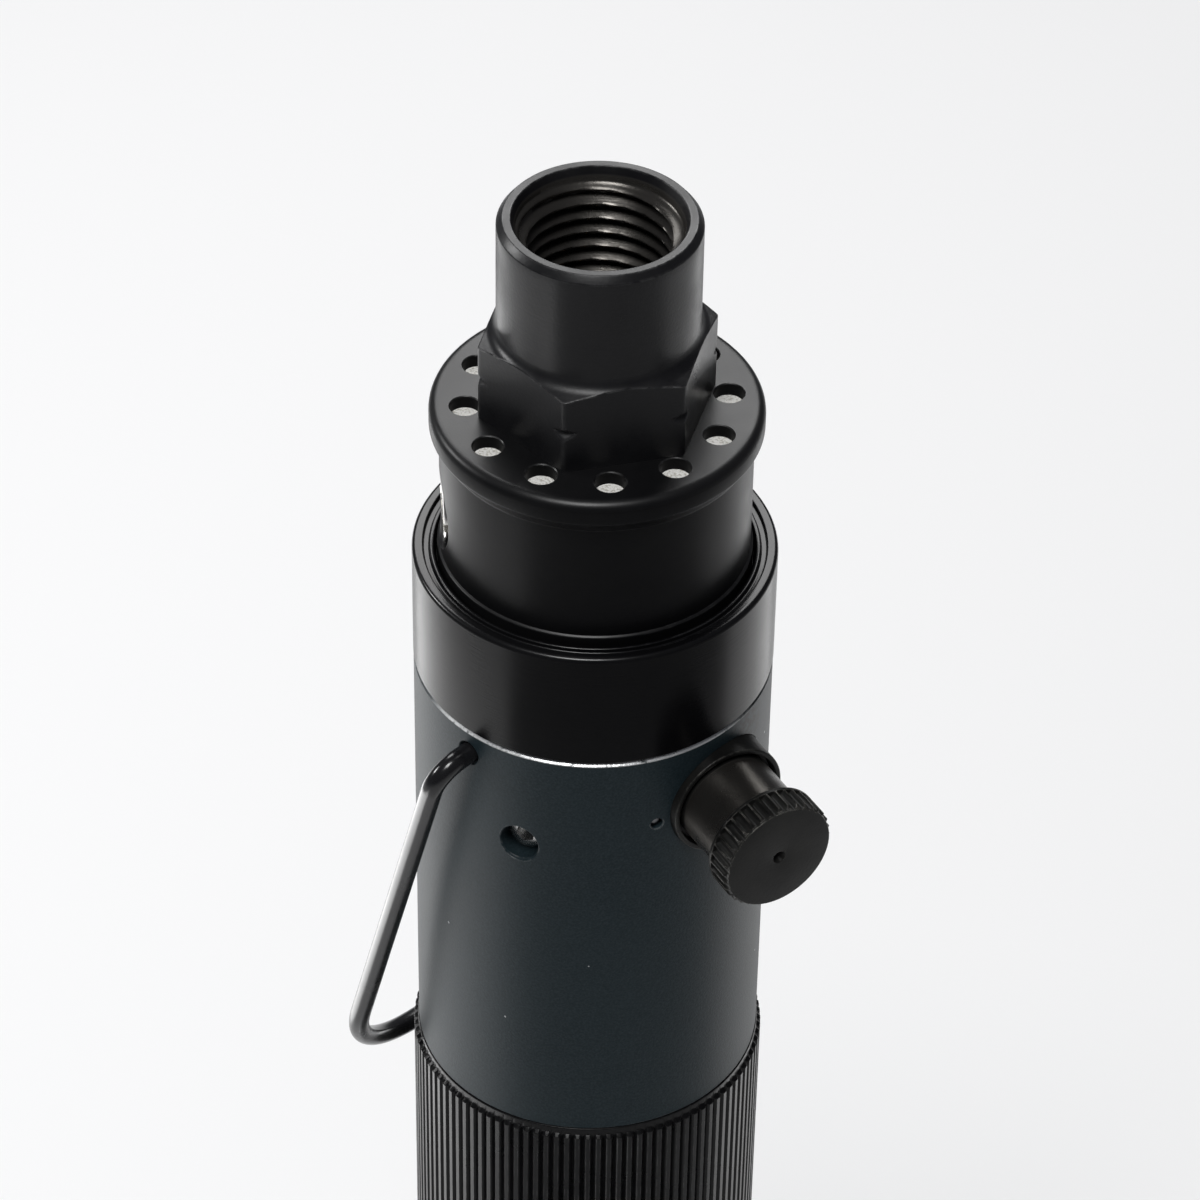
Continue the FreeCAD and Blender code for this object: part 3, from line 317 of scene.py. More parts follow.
class Tree:
    """Short hand for adding and joining nodes of one tree."""

    def __init__(self, tree):
        self.tree = tree

    def node(self, kind, links=None, **settings):
        node = self.tree.nodes.new("ShaderNode" + kind)
        for key, value in settings.items():
            setattr(node, key, value)
        self.join(node, links or {})
        return node

    def join(self, node, links):
        for key, value in links.items():
            socket = node.inputs[key]
            if isinstance(value, bpy.types.NodeSocket):
                self.tree.links.new(value, socket)
            else:
                socket.default_value = value

    def math(self, operation, first, second=0.0, clamp=False):
        node = self.node("Math", {0: first, 1: second}, operation=operation, use_clamp=clamp)
        return node.outputs[0]

    def place(self):
        return self.node("TexCoord").outputs["Object"]

    def measure(self, operation, first, second):
        """Number that a vector operation gives."""
        node = self.node("VectorMath", {0: first, 1: second}, operation=operation)
        return node.outputs["Value"]

    def length(self, vector):
        return self.node("VectorMath", {0: vector}, operation="LENGTH").outputs["Value"]

    def part(self, vector, axis):
        return self.node("SeparateXYZ", {"Vector": vector}).outputs[axis]

    def bump(self, height, distance, strength=1.0, **settings):
        given = {"Height": height, "Distance": distance, "Strength": strength}
        return self.node("Bump", given, **settings)

    def remap(self, value, low, high, to_low=0.0, to_high=1.0):
        return self.node("MapRange", {
            "Value": value,
            "From Min": low,
            "From Max": high,
            "To Min": to_low,
            "To Max": to_high,
        }).outputs["Result"]

    def mix(self, factor, first, second):
        node = self.node("Mix", data_type="RGBA")
        self.join(node, {0: factor, 6: first, 7: second})
        return node.outputs[2]

    def noise(self, vector, scale, detail=3.0, roughness=0.55):
        return self.node("TexNoise", {
            "Vector": vector,
            "Scale": scale,
            "Detail": detail,
            "Roughness": roughness,
        }).outputs["Fac"]


def edge_wear_group():
    """Rubbed convex edges. The open air test leaves inner corners alone."""
    group = new_group("edge wear", [
        ("Reach", "NodeSocketFloat", 0.0002),
        ("Break-up", "NodeSocketFloat", 900.0),
        ("Amount", "NodeSocketFloat", 0.5),
    ], [("Mask", "NodeSocketFloat")])
    t = Tree(group)
    given = group.nodes.new("NodeGroupInput")
    rounded = t.node("Bevel", {"Radius": given.outputs["Reach"]}, samples=4).outputs["Normal"]
    face = t.node("NewGeometry").outputs["Normal"]
    edge = t.remap(t.measure("DOT_PRODUCT", rounded, face), 0.998, 0.93)
    patchy = t.remap(t.noise(t.place(), given.outputs["Break-up"], 4.0, 0.65), 0.42, 0.62)
    open_air = t.node("AmbientOcclusion", {"Distance": 0.0008}, samples=4).outputs["AO"]
    edge = t.math("MULTIPLY", edge, t.remap(open_air, 0.72, 0.92))
    worn = t.math("MULTIPLY", t.math("MULTIPLY", edge, patchy), given.outputs["Amount"], True)
    result = group.nodes.new("NodeGroupOutput")
    group.links.new(worn, result.inputs["Mask"])
    return group


def specks_group():
    """Dust: a small round spot in a few of the cells."""
    group = new_group("dust specks", [
        ("Scale", "NodeSocketFloat", 700.0),
        ("Size", "NodeSocketFloat", 0.09),
        ("Share", "NodeSocketFloat", 0.06),
    ], [("Mask", "NodeSocketFloat")])
    t = Tree(group)
    given = group.nodes.new("NodeGroupInput")
    cells = t.node("TexVoronoi", {"Vector": t.place(), "Scale": given.outputs["Scale"]})
    near = t.math("LESS_THAN", cells.outputs["Distance"], given.outputs["Size"])
    lucky = t.node("SeparateColor", {"Color": cells.outputs["Color"]}).outputs["Red"]
    lucky = t.math("LESS_THAN", lucky, given.outputs["Share"])
    result = group.nodes.new("NodeGroupOutput")
    group.links.new(t.math("MULTIPLY", near, lucky), result.inputs["Mask"])
    return group


def turning_group():
    """Fine rings left by a lathe, on sides and on faces alike."""
    group = new_group("turning rings", [
        ("Lines", "NodeSocketFloat", 9000.0),
        ("Axis", "NodeSocketVector", (0.0, 0.0, 1.0)),
    ], [("Height", "NodeSocketFloat")])
    t = Tree(group)
    given = group.nodes.new("NodeGroupInput")
    place = t.place()
    axis = given.outputs["Axis"]
    along = t.measure("DOT_PRODUCT", place, axis)
    arm = t.node("VectorMath", {0: place, 1: axis}, operation="CROSS_PRODUCT").outputs["Vector"]
    away = t.length(arm)
    line = t.math("MULTIPLY", t.math("ADD", along, away), given.outputs["Lines"])
    rings = t.node("TexNoise", {"W": line, "Scale": 1.0, "Detail": 2.0}, noise_dimensions="1D")
    result = group.nodes.new("NodeGroupOutput")
    group.links.new(rings.outputs["Fac"], result.inputs["Height"])
    return group


def grain_group():
    """Blasted or cast grain with slow blotches over it."""
    group = new_group("blasted grain", [
        ("Grain", "NodeSocketFloat", 6000.0),
        ("Blotch", "NodeSocketFloat", 90.0),
    ], [("Height", "NodeSocketFloat"), ("Blotches", "NodeSocketFloat")])
    t = Tree(group)
    given = group.nodes.new("NodeGroupInput")
    place = t.place()
    fine = t.noise(place, given.outputs["Grain"], 2.0, 0.6)
    slow = t.noise(place, given.outputs["Blotch"], 5.0, 0.6)
    result = group.nodes.new("NodeGroupOutput")
    group.links.new(fine, result.inputs["Height"])
    group.links.new(slow, result.inputs["Blotches"])
    return group


EDGE_WEAR = edge_wear_group()
SPECKS = specks_group()
TURNING = turning_group()
GRAIN = grain_group()


def placed(t, group, **values):
    """A shader group in a material, with its own values."""
    node = t.tree.nodes.new("ShaderNodeGroup")
    node.node_tree = group
    for key, value in values.items():
        node.inputs[key.replace("_", " ")].default_value = value
    return node


def new_material(name, **constants):
    """Material, its tree and its Principled shader with the given constants."""
    material = bpy.data.materials.new(name)
    material.use_nodes = True
    shader = material.node_tree.nodes["Principled BSDF"]
    for key, value in constants.items():
        shader.inputs[key.replace("_", " ")].default_value = value
    return material, Tree(material.node_tree), shader


def gloss_facing_up(t, shader, specular, top_specular):
    """Gives what faces up the gloss of hands that rub it most."""
    facing = t.part(t.node("NewGeometry").outputs["Normal"], "Z")
    t.join(shader, {"Specular IOR Level": t.remap(facing, 0.15, 0.6, specular, top_specular)})


def lathe_streaks(t, shader, axis, streaks):
    """Draws highlights on the flanks out along the axis, as fine lathe marks do."""
    along = t.measure("DOT_PRODUCT", t.node("NewGeometry").outputs["Normal"], tuple(axis))
    flank = t.remap(t.math("ABSOLUTE", along), 0.5, 0.2, 0.0, streaks)
    line = t.node("CombineXYZ", {"X": axis[0], "Y": axis[1], "Z": axis[2]}).outputs["Vector"]
    t.join(shader, {"Anisotropic": flank, "Tangent": line})


def metal_finish(name, dark, light, roughness, spread=0.08, metallic=1.0, blotch=90.0,
                 bare=(0.62, 0.62, 0.60), wear=0.5, wear_reach=0.00025, grain=5000.0,
                 grain_depth=0.00001, lines=9000.0, line_depth=0.000004, axis=(0, 0, 1),
                 specks=0.0, specular=0.5, top_specular=None, polished=None, streaks=0.0):
    """Turned or blasted metal with blotches, lathe rings, worn edges and dust.

    polished gives, from the place, a mask of the zone that is rubbed or oiled to a shine.
    Depths and reaches are in metres, as the shader nodes want them.
    """
    material, t, shader = new_material(name, Specular_IOR_Level=specular)
    grains = placed(t, GRAIN, Grain=grain, Blotch=blotch)
    rings = placed(t, TURNING, Lines=lines, Axis=axis)
    worn = placed(t, EDGE_WEAR, Reach=wear_reach, Amount=wear)
    slow = grains.outputs["Blotches"]
    colour = t.mix(t.remap(slow, 0.34, 0.66), (*dark, 1), (*light, 1))
    colour = t.mix(worn.outputs["Mask"], colour, (*bare, 1))
    rough = t.remap(slow, 0.3, 0.7, roughness - spread, roughness + spread)
    shine = t.remap(worn.outputs["Mask"], 0.0, 1.0, metallic, 1.0)
    if specks:
        dust = placed(t, SPECKS, Share=specks).outputs["Mask"]
        colour = t.mix(dust, colour, (0.55, 0.55, 0.53, 1))
        rough = t.math("ADD", rough, t.math("MULTIPLY", dust, 0.4), True)
    if top_specular:
        gloss_facing_up(t, shader, specular, top_specular)
    if polished:
        zone = polished(t, t.place())
        colour = t.mix(zone, colour, (0.066, 0.062, 0.057, 1))
        shine = t.math("ADD", shine, t.math("MULTIPLY", zone, 0.8), True)
        rough = t.math("MULTIPLY", rough, t.remap(zone, 0.0, 1.0, 1.0, 0.8))
    if streaks:
        lathe_streaks(t, shader, axis, streaks)
    bump = t.bump(grains.outputs["Height"], grain_depth)
    t.join(bump, {"Normal": t.bump(rings.outputs["Height"], line_depth).outputs["Normal"]})
    t.join(shader, {
        "Base Color": colour,
        "Roughness": rough,
        "Metallic": shine,
        "Normal": bump.outputs["Normal"],
    })
    return material


def bare_rim_and_front_highlight(t, place):
    """Mask of the tube's top chamfer, rubbed bare in patches, and weighted up at the front as a
    painted highlight.
    """
    rim = t.remap(t.part(place, "Z"), (TUBE_TOP - 0.32) / 1000, (TUBE_TOP - 0.26) / 1000)
    rubbed = t.remap(t.noise(place, 1500.0, 5.0, 0.7), 0.30, 0.48)
    # Painted highlight: the bare bright metal fills the chamfer at the front and fades to a trace
    # at the back.
    front = t.remap(t.part(place, "Y"), -0.0065, -0.0125)
    painted_front_highlight = t.remap(front, 0.0, 1.0, 0.08, 1.0)
    return t.math("MULTIPLY", t.math("MULTIPLY", rim, rubbed), painted_front_highlight, True)


def pitted_spot(t, place):
    """Mask of the dark pitted spot over the knob."""
    spot = (outward(59.0) * TUBE_RADIUS + Vector((0, 0, TUBE_TOP - 1.9))) / 1000
    near = t.remap(t.measure("DISTANCE", place, spot), 0.0030, 0.0012)
    pits = t.remap(t.noise(place, 1700.0, 3.0, 0.6), 0.46, 0.56)
    return t.math("MULTIPLY", near, pits)


def tube_finish():
    """Bead-blasted blue-grey anodising, rubbed bare on the top chamfer, with a painted highlight
    where that bare chamfer is made brightest at the front.
    """
    material, t, shader = new_material("blasted_blue_grey", Specular_IOR_Level=0.1)
    grains = placed(t, GRAIN, Grain=5200.0, Blotch=70.0)
    fine = grains.outputs["Height"]
    place = t.place()
    # Bare chamfer mask: partly real wear, partly a painted highlight at the front.
    bare = bare_rim_and_front_highlight(t, place)
    worn = placed(t, EDGE_WEAR, Reach=0.00018, Amount=0.35)
    dust = placed(t, SPECKS, Scale=420.0, Size=0.05, Share=0.05)
    slow = t.remap(grains.outputs["Blotches"], 0.3, 0.7)
    colour = t.mix(slow, (0.009, 0.017, 0.021, 1), (0.012, 0.021, 0.025, 1))
    # Partly grain tone, partly painted highlight: the raised peaks of the grain bump get a lighter
    # colour.
    colour = t.mix(t.remap(fine, 0.35, 0.75), colour, (0.019, 0.030, 0.036, 1))
    colour = t.mix(worn.outputs["Mask"], colour, (0.45, 0.46, 0.46, 1))
    colour = t.mix(pitted_spot(t, place), colour, (0.006, 0.007, 0.008, 1))
    # Bare metal on the chamfer, carrying the painted highlight at the front.
    colour = t.mix(bare, colour, (0.90, 0.91, 0.91, 1))
    colour = t.mix(dust.outputs["Mask"], colour, (0.4, 0.42, 0.43, 1))
    t.join(shader, {
        "Base Color": colour,
        "Roughness": t.remap(bare, 0.0, 1.0, 0.48, 0.36),
        "Metallic": bare,
        "Normal": t.bump(fine, 0.000018).outputs["Normal"],
    })
    return material


def sintered_finish():
    """Porous white silencer: packed grains, with painted shade darkening the sunken pits between
    them.
    """
    material, t, shader = new_material("sintered_white", Roughness=0.9)
    cells = t.node("TexVoronoi", {"Vector": t.place(), "Scale": 5200.0}).outputs["Distance"]
    # Painted shade: the sunken pits between the grains get a darker colour.
    pits = t.remap(cells, 0.52, 0.80)
    colour = t.mix(pits, (0.96, 0.95, 0.91, 1), (0.62, 0.60, 0.54, 1))
    bump = t.bump(cells, 0.00012, 0.9, invert=True)
    t.join(shader, {"Base Color": colour, "Normal": bump.outputs["Normal"]})
    return material


def rubber_finish(name, colour_a, colour_b, roughness):
    """Rubber, fibre or resin: two close colours in blotches, with a fine grain."""
    material, t, shader = new_material(name)
    grains = placed(t, GRAIN, Grain=2600.0, Blotch=160.0)
    slow = grains.outputs["Blotches"]
    t.join(shader, {
        "Base Color": t.mix(slow, (*colour_a, 1), (*colour_b, 1)),
        "Roughness": t.remap(slow, 0.3, 0.7, roughness - 0.06, roughness + 0.06),
        "Normal": t.bump(grains.outputs["Height"], 0.00002, 0.7).outputs["Normal"],
    })
    return material


def in_the_bore(t, place):
    """Mask of the inlet's oiled thread."""
    flat = t.node("VectorMath", {0: place, 1: (1.0, 1.0, 0.0)}, operation="MULTIPLY")
    return t.remap(t.length(flat.outputs["Vector"]), 0.00675, 0.00665)


def on_the_neck(t, place):
    """Mask of the knob's neck, between the bush and the fluted head."""
    along = t.measure("DOT_PRODUCT", place, outward(KNOB_AZIMUTH))
    before_head = t.remap(along, 0.0208, 0.0206)
    past_bush = t.remap(along, BUSH_FACE / 1000, (BUSH_FACE + 0.1) / 1000)
    return t.math("MULTIPLY", before_head, past_bush)


black_oxide = metal_finish("black_oxide_fitting", (0.004, 0.004, 0.005),
                           (0.009, 0.009, 0.010), 0.34, bare=(0.30, 0.30, 0.30), wear=0.55,
                           grain=3800.0, grain_depth=0.000010, lines=5000.0,
                           line_depth=0.000004, metallic=0.0, specks=0.02,
                           blotch=150.0, specular=0.2, top_specular=0.36, polished=in_the_bore,
                           streaks=0.75)
black_wire = metal_finish("black_wire", (0.006, 0.006, 0.007), (0.013, 0.013, 0.014), 0.22,
                          bare=(0.2, 0.2, 0.2), wear=0.2, grain_depth=0.000003, line_depth=0.0,
                          metallic=0.0, specks=0.01, specular=0.45)
black_gloss = metal_finish("black_anodised_gloss", (0.0025, 0.0025, 0.003),
                           (0.0045, 0.0045, 0.005), 0.22, bare=(0.22, 0.22, 0.23), wear=0.35,
                           wear_reach=0.00012, grain_depth=0.000002, lines=7000.0,
                           line_depth=0.000007, metallic=0.0, specks=0.012, specular=0.045,
                           top_specular=0.34, spread=0.04)
black_satin = metal_finish("black_anodised_satin", (0.003, 0.003, 0.0035),
                           (0.006, 0.006, 0.0065), 0.36, bare=(0.25, 0.25, 0.25), wear=0.3,
                           wear_reach=0.00015, grain_depth=0.000005, lines=7000.0,
                           line_depth=0.000002, metallic=0.0, specks=0.02, specular=0.05,
                           top_specular=0.34, spread=0.05)
knob_black = metal_finish("black_oxide_knob", (0.006, 0.006, 0.006), (0.013, 0.013, 0.012), 0.36,
                          bare=(0.34, 0.33, 0.30), wear=0.6, wear_reach=0.00012, grain=4200.0,
                          grain_depth=0.000012, line_depth=0.0, metallic=0.0, specks=0.03,
                          blotch=240.0, specular=0.12, polished=on_the_neck,
                          axis=outward(KNOB_AZIMUTH), streaks=0.85)
bright_steel = metal_finish("bright_steel", (0.46, 0.46, 0.46), (0.62, 0.62, 0.61), 0.24,
                            wear=0.0, grain_depth=0.000002, line_depth=0.000003)
dark_steel = metal_finish("hardened_steel", (0.13, 0.13, 0.135), (0.22, 0.22, 0.225), 0.36,
                          wear=0.3)
nickel = metal_finish("polished_nickel", (0.60, 0.59, 0.57), (0.74, 0.73, 0.70), 0.16, wear=0.0,
                      grain_depth=0.000001, line_depth=0.000002)
turned_aluminium = metal_finish("turned_aluminium", (0.50, 0.51, 0.52), (0.63, 0.64, 0.65), 0.34,
                                wear=0.2, bare=(0.8, 0.8, 0.8), lines=4000.0,
                                line_depth=0.000006)
grip_black = metal_finish("black_grip", (0.003, 0.003, 0.0035), (0.006, 0.006, 0.0065), 0.28,
                          bare=(0.25, 0.25, 0.25), wear=0.3, wear_reach=0.00012,
                          grain_depth=0.000004, line_depth=0.0, metallic=0.0, specks=0.01,
                          specular=0.12, spread=0.05)
bronze = metal_finish("sintered_bronze", (0.36, 0.22, 0.08), (0.55, 0.36, 0.16), 0.42, wear=0.2,
                      bare=(0.75, 0.55, 0.3), grain=3000.0, grain_depth=0.00003, line_depth=0.0)
brass = metal_finish("turned_brass", (0.55, 0.40, 0.14), (0.72, 0.55, 0.24), 0.26, wear=0.1,
                     bare=(0.85, 0.7, 0.4))
composite = rubber_finish("vane_composite", (0.22, 0.12, 0.05), (0.34, 0.20, 0.10), 0.55)
fibre = rubber_finish("gasket_fibre", (0.30, 0.29, 0.24), (0.42, 0.40, 0.33), 0.8)
silicone = rubber_finish("red_silicone", (0.42, 0.055, 0.035), (0.50, 0.075, 0.045), 0.48)
nitrile = rubber_finish("nitrile_rubber", (0.014, 0.014, 0.014), (0.022, 0.022, 0.022), 0.5)
blue_grey = tube_finish()
sintered = sintered_finish()

FINISH_OF_SLOT = {
    "black_oxide_steel": black_oxide,
    "black_anodised": black_satin,
    "blue_grey_anodised": blue_grey,
    "bright_steel": bright_steel,
    "dark_steel": dark_steel,
    "nickel": nickel,
    "satin_aluminium": turned_aluminium,
    "bronze": bronze,
    "brass": brass,
    "sintered_white": sintered,
    "silicone": silicone,
    "seal_rubber": nitrile,
    "vane_composite": composite,
    "gasket_fibre": fibre,
}
for subpart in frame["record"]["subparts"]:
    node = frame["nodes"][subpart["node"]]
    node.data.materials.clear()
    node.data.materials.append(FINISH_OF_SLOT[subpart["material_slot"]])


# Air inlet fitting

def smooth_least(first, second, blend):
    """The smaller of two radii, with a rounded corner where they cross."""
    gap = max(blend - abs(first - second), 0.0) / blend
    return min(first, second) - gap * gap * blend / 4


def hexagon_reach(angle):
    """Distance from the axis to the hexagon's side, with slightly rubbed corners."""
    place = (math.degrees(angle) - HEX_TURN) % 60 - 30
    side = HEX_ACROSS / 2 / math.cos(math.radians(place))
    return smooth_least(side, HEX_CORNER - 0.07, 0.03)


def hexagon_levels(middle):
    """Heights of the hexagon's rings, close together at the groove and the top chamfer."""
    levels = [FLANGE_TOP + 0.02, FLANGE_TOP + 0.12]
    level = FLANGE_TOP + 0.4
    while level < HEX_TOP - 0.65:
        levels.append(level)
        at_groove = middle - GROOVE_HALF - 0.1 < level < middle + GROOVE_HALF + 0.1
        level += 0.12 if at_groove else 0.4
    level = HEX_TOP - 0.65
    while level < HEX_TOP - 0.215:
        levels.append(level)
        level += 0.022
    return levels


def flare_points(steps=24):
    """Arc that leads the top chamfer's slope up into the cylinder."""
    inward = FLARE * (1 - math.sin(CHAMFER_SLOPE)) - 0.3
    centre = HEX_TOP - inward * math.tan(CHAMFER_SLOPE) + FLARE * math.cos(CHAMFER_SLOPE)
    points = []
    for step in range(steps + 1):
        turn = CHAMFER_SLOPE + (math.pi / 2 - CHAMFER_SLOPE) * step / steps
        radius = INLET_RADIUS + FLARE * (1 - math.sin(turn))
        points.append((radius, centre - FLARE * math.cos(turn)))
    return points


def thread_depth(angle, height):
    """Radius of the internal thread: a V groove that climbs one pitch a turn."""
    place = ((height - angle / (2 * math.pi) * THREAD_PITCH) / THREAD_PITCH) % 1.0
    away = abs(place - 0.5) * 2
    rise = min(1.0, max(0.0, (away - 0.10) / 0.80))
    return THREAD_MINOR + (THREAD_MAJOR - THREAD_MINOR) * rise


def inlet_fitting():
    """One closed profile whose points know if they are plain, hexagon, flare or thread."""
    middle = (FLANGE_TOP + HEX_TOP) / 2
    thread_top = INLET_TOP - 1.1
    thread_bottom = INLET_TOP - 11.6
    thread_steps = 150
    rim = softened([
        (INLET_RADIUS, INLET_TOP - 3.0, 0),
        (INLET_RADIUS, INLET_TOP - 0.58, 0.25),
        (INLET_RADIUS - 0.48, INLET_TOP, 0.14),
        (BORE_RADIUS, INLET_TOP, 0.12),
        (THREAD_MAJOR + 0.12, INLET_TOP - 0.75, 0.1),
        (THREAD_MAJOR + 0.02, INLET_TOP - 1.5, 0),
    ])[1:-1]
    outside = [
        (4.0, FLANGE_TOP - 7.6, "plain"),
        (6.95, FLANGE_TOP - 7.6, "plain"),
        (6.95, FLANGE_TOP + 0.02, "plain"),
    ]
    outside += [(9.0, level, "hex") for level in hexagon_levels(middle)]
    outside += [(radius, height, "flare") for radius, height in flare_points()]
    outside += [(INLET_RADIUS, HEX_TOP + 2.0, "plain"), (INLET_RADIUS, INLET_TOP - 1.3, "plain")]
    outside += [(radius, height, "plain") for radius, height in rim]
    for step in range(thread_steps + 1):
        height = thread_top + (thread_bottom - thread_top) * step / thread_steps
        outside.append((THREAD_MINOR, height, "thread"))
    outside += [(THREAD_MINOR, INLET_TOP - 14.75, "plain"), (4.0, INLET_TOP - 14.8, "plain")]

    def thread_radius(angle, height):
        run_in = min(1.0, (thread_top - height) / 0.7)
        run_out = min(1.0, (height - thread_bottom) / 1.2)
        deep = thread_depth(angle, height)
        if run_in < 1:
            return deep * run_in + (THREAD_MAJOR + 0.02) * (1 - run_in)
        return THREAD_MINOR + (deep - THREAD_MINOR) * run_out

    def hexagon_radius(angle, height):
        cone = INLET_RADIUS + 0.3 + (HEX_TOP - height) / math.tan(CHAMFER_SLOPE)
        groove = HEX_CORNER - GROOVE_DEPTH + abs(height - middle) * 0.95
        return smooth_least(smooth_least(hexagon_reach(angle), cone, 0.05), groove, 0.05)

    def at(angle, index, radius, height):
        kind = outside[index][2]
        if kind == "thread":
            radius = thread_radius(angle, height)
        elif kind == "hex":
            radius = hexagon_radius(angle, height)
        elif kind == "flare":
            radius = smooth_least(hexagon_reach(angle), radius, 0.05)
        return radius, height

    profile = [(radius, height) for radius, height, kind in outside]
    piece = revolved("inlet_fitting_body", profile, 360, at=at)
    dressed(piece, "housing", "inlet_fitting", black_oxide, 28.0)


# Exhaust cap, regulator and collar

def exhaust_cap():
    outside = [
        (4.0, 205.3, 0),
        (TUBE_BORE - 0.05, 205.3, 0.2),
        (TUBE_BORE - 0.05, 210.3, 0),
        (NECK_RADIUS + 0.6, 210.3, 0),
        (NECK_RADIUS + 0.6, 212.4, 0.15),
        (NECK_RADIUS + 0.2, 212.4, 0),
        (NECK_RADIUS + 0.2, COLLAR_TOP + 0.5, 0.2),
        (NECK_RADIUS, COLLAR_TOP + 0.62, 0.05),
        (NECK_RADIUS, FLANGE_TOP - 3.2, 0.3),
        (FLANGE_RADIUS, FLANGE_TOP - 2.0, 0.35),
        (FLANGE_RADIUS, FLANGE_TOP, 0.85),
        (6.99, FLANGE_TOP, 0),
        (6.99, FLANGE_TOP - 7.61, 0),
        (4.0, FLANGE_TOP - 7.61, 0),
    ]
    piece = revolved("exhaust_cap_body", softened(outside, 6), 240)
    plate = FLANGE_TOP - 1.15
    chamber = [(8.0, plate - 4.0), (11.9, plate - 4.0), (11.9, plate), (8.0, plate)]
    cutters = [revolved("chamber_cutter", chamber, 120)]
    for index in range(EXHAUST_HOLES):
        azimuth = 6.0 + 360.0 / EXHAUST_HOLES * index
        matrix = Matrix.Translation(outward(azimuth) * EXHAUST_CIRCLE)
        cutters.append(drill(f"hole_cutter_{index}", EXHAUST_HOLE_RADIUS, plate - 0.5,
                             FLANGE_TOP, FLANGE_TOP + 0.4, 0.07, matrix))
    cutters.append(drill("regulator_cutter", 3.6, NECK_RADIUS - 2.2, NECK_RADIUS - 0.1,
                         NECK_RADIUS + 3.0, 0.1, laid_out(*REGULATOR), 72))
    cut(piece, cutters)
    dressed(piece, "housing", "exhaust_cap", black_satin)


def regulator_screw():
    face = NECK_RADIUS - 0.2
    matrix = laid_out(*REGULATOR)
    outside = [
        (0, 3.0, 0),
        (2.1, 3.0, 0.1),
        (2.1, face - 1.3, 0),
        (3.15, face - 1.3, 0.1),
        (3.15, face, 0.22),
        (0, face, 0),
    ]
    piece = revolved("regulator_screw_body", softened(outside), 96, matrix)
    slot_tool = prism("slot_cutter", 4, 0.8, face - 0.6, face + 1.0)
    slot_tool.data.transform(Matrix.Rotation(math.radians(45), 4, "Z"))
    slot_tool.data.transform(Matrix.Diagonal((12.0, 1.0, 1.0, 1.0)))
    slot_tool.data.transform(in_millimetres(matrix))
    cut(piece, [slot_tool])
    dressed(piece, "regulator", "regulator_screw", nickel)


def collar():
    outside = [
        (SPIGOT_RADIUS + 0.05, TUBE_TOP + 0.1, 0),
        (15.0, TUBE_TOP + 0.1, 0.15),
        (15.0, COLLAR_TOP, 1.25),
        (14.1, COLLAR_TOP, 0.12),
        (14.05, COLLAR_TOP - 0.4, 0.1),
        (13.6, COLLAR_TOP - 0.45, 0.12),
        (13.5, COLLAR_TOP - 0.05, 0.14),
        (13.2, COLLAR_TOP - 0.15, 0.1),
        (NECK_RADIUS + 0.3, COLLAR_TOP - 0.7, 0.05),
        (NECK_RADIUS + 0.3, COLLAR_TOP - 2.2, 0),
        (SPIGOT_RADIUS + 0.05, COLLAR_TOP - 2.2, 0),
    ]
    piece = revolved("collar_ring_body", softened(outside, 8), 288)
    dressed(piece, "housing", "collar_ring", black_gloss)


# Body tube with what sits in its wall

def body_tube():
    seat = 13.2
    outside = [
        (TUBE_BORE, GRIP_BOTTOM, 0),
        (seat, GRIP_BOTTOM, 0),
        (seat, GRIP_TOP, 0),
        (TUBE_RADIUS, GRIP_TOP, 0.15),
        (TUBE_RADIUS, TUBE_TOP - 0.26, 0.08),
        (TUBE_RADIUS - 0.30, TUBE_TOP, 0.05),
        (SPIGOT_RADIUS, TUBE_TOP, 0),
        (SPIGOT_RADIUS, TUBE_TOP + 6.6, 0.2),
        (TUBE_BORE, TUBE_TOP + 6.6, 0.2),
    ]
    piece = revolved("body_tube_shell", softened(outside, 5), 288)
    cutters = []
    for azimuth in (BAIL_AZIMUTH, BAIL_AZIMUTH + 180):
        matrix = laid_out(azimuth, BAIL_HEIGHT)
        cutters.append(drill("bail_cutter", 1.0, 9.0, TUBE_RADIUS - 0.05, TUBE_RADIUS + 2.0, 0.12,
                             matrix))
    matrix = laid_out(KNOB_AZIMUTH, KNOB_HEIGHT, 0, KNOB_OFFSET)
    cutters.append(revolved("bush_cutter", [(0, 4), (5.15, 4), (5.15, 22), (0, 22)], 96, matrix))
    cutters.append(drill("pin_cutter", 0.52, 9.0, TUBE_RADIUS, TUBE_RADIUS + 2.0, 0.08,
                         laid_out(*LOCK_PIN), 32))
    cutters.append(drill("screw_cutter", 1.7, 9.0, TUBE_RADIUS - 0.08, TUBE_RADIUS + 2.0, 0.1,
                         laid_out(*SET_SCREW), 64))
    cut(piece, cutters)
    dressed(piece, "housing", "body_tube", blue_grey)


def lock_pin():
    outside = [(0, 12.6, 0), (0.5, 12.6, 0.08), (0.5, 14.55, 0.22), (0, 14.6, 0)]
    piece = revolved("lock_pin_body", softened(outside), 48, laid_out(*LOCK_PIN))
    dressed(piece, "housing", "lock_pin", dark_steel)


def set_screw():
    face = TUBE_RADIUS - 1.4
    matrix = laid_out(*SET_SCREW)
    outside = [(0, face - 4.6, 0), (1.65, face - 4.6, 0.2), (1.65, face, 0.3), (0, face, 0)]
    piece = revolved("set_screw_body", softened(outside), 72, matrix)
    socket = prism("socket_cutter", 6, 1.5, face - 1.2, face + 1.0, matrix, 20.0)
    cut(piece, [socket])
    dressed(piece, "housing", "set_screw", bright_steel)


# Suspension bail

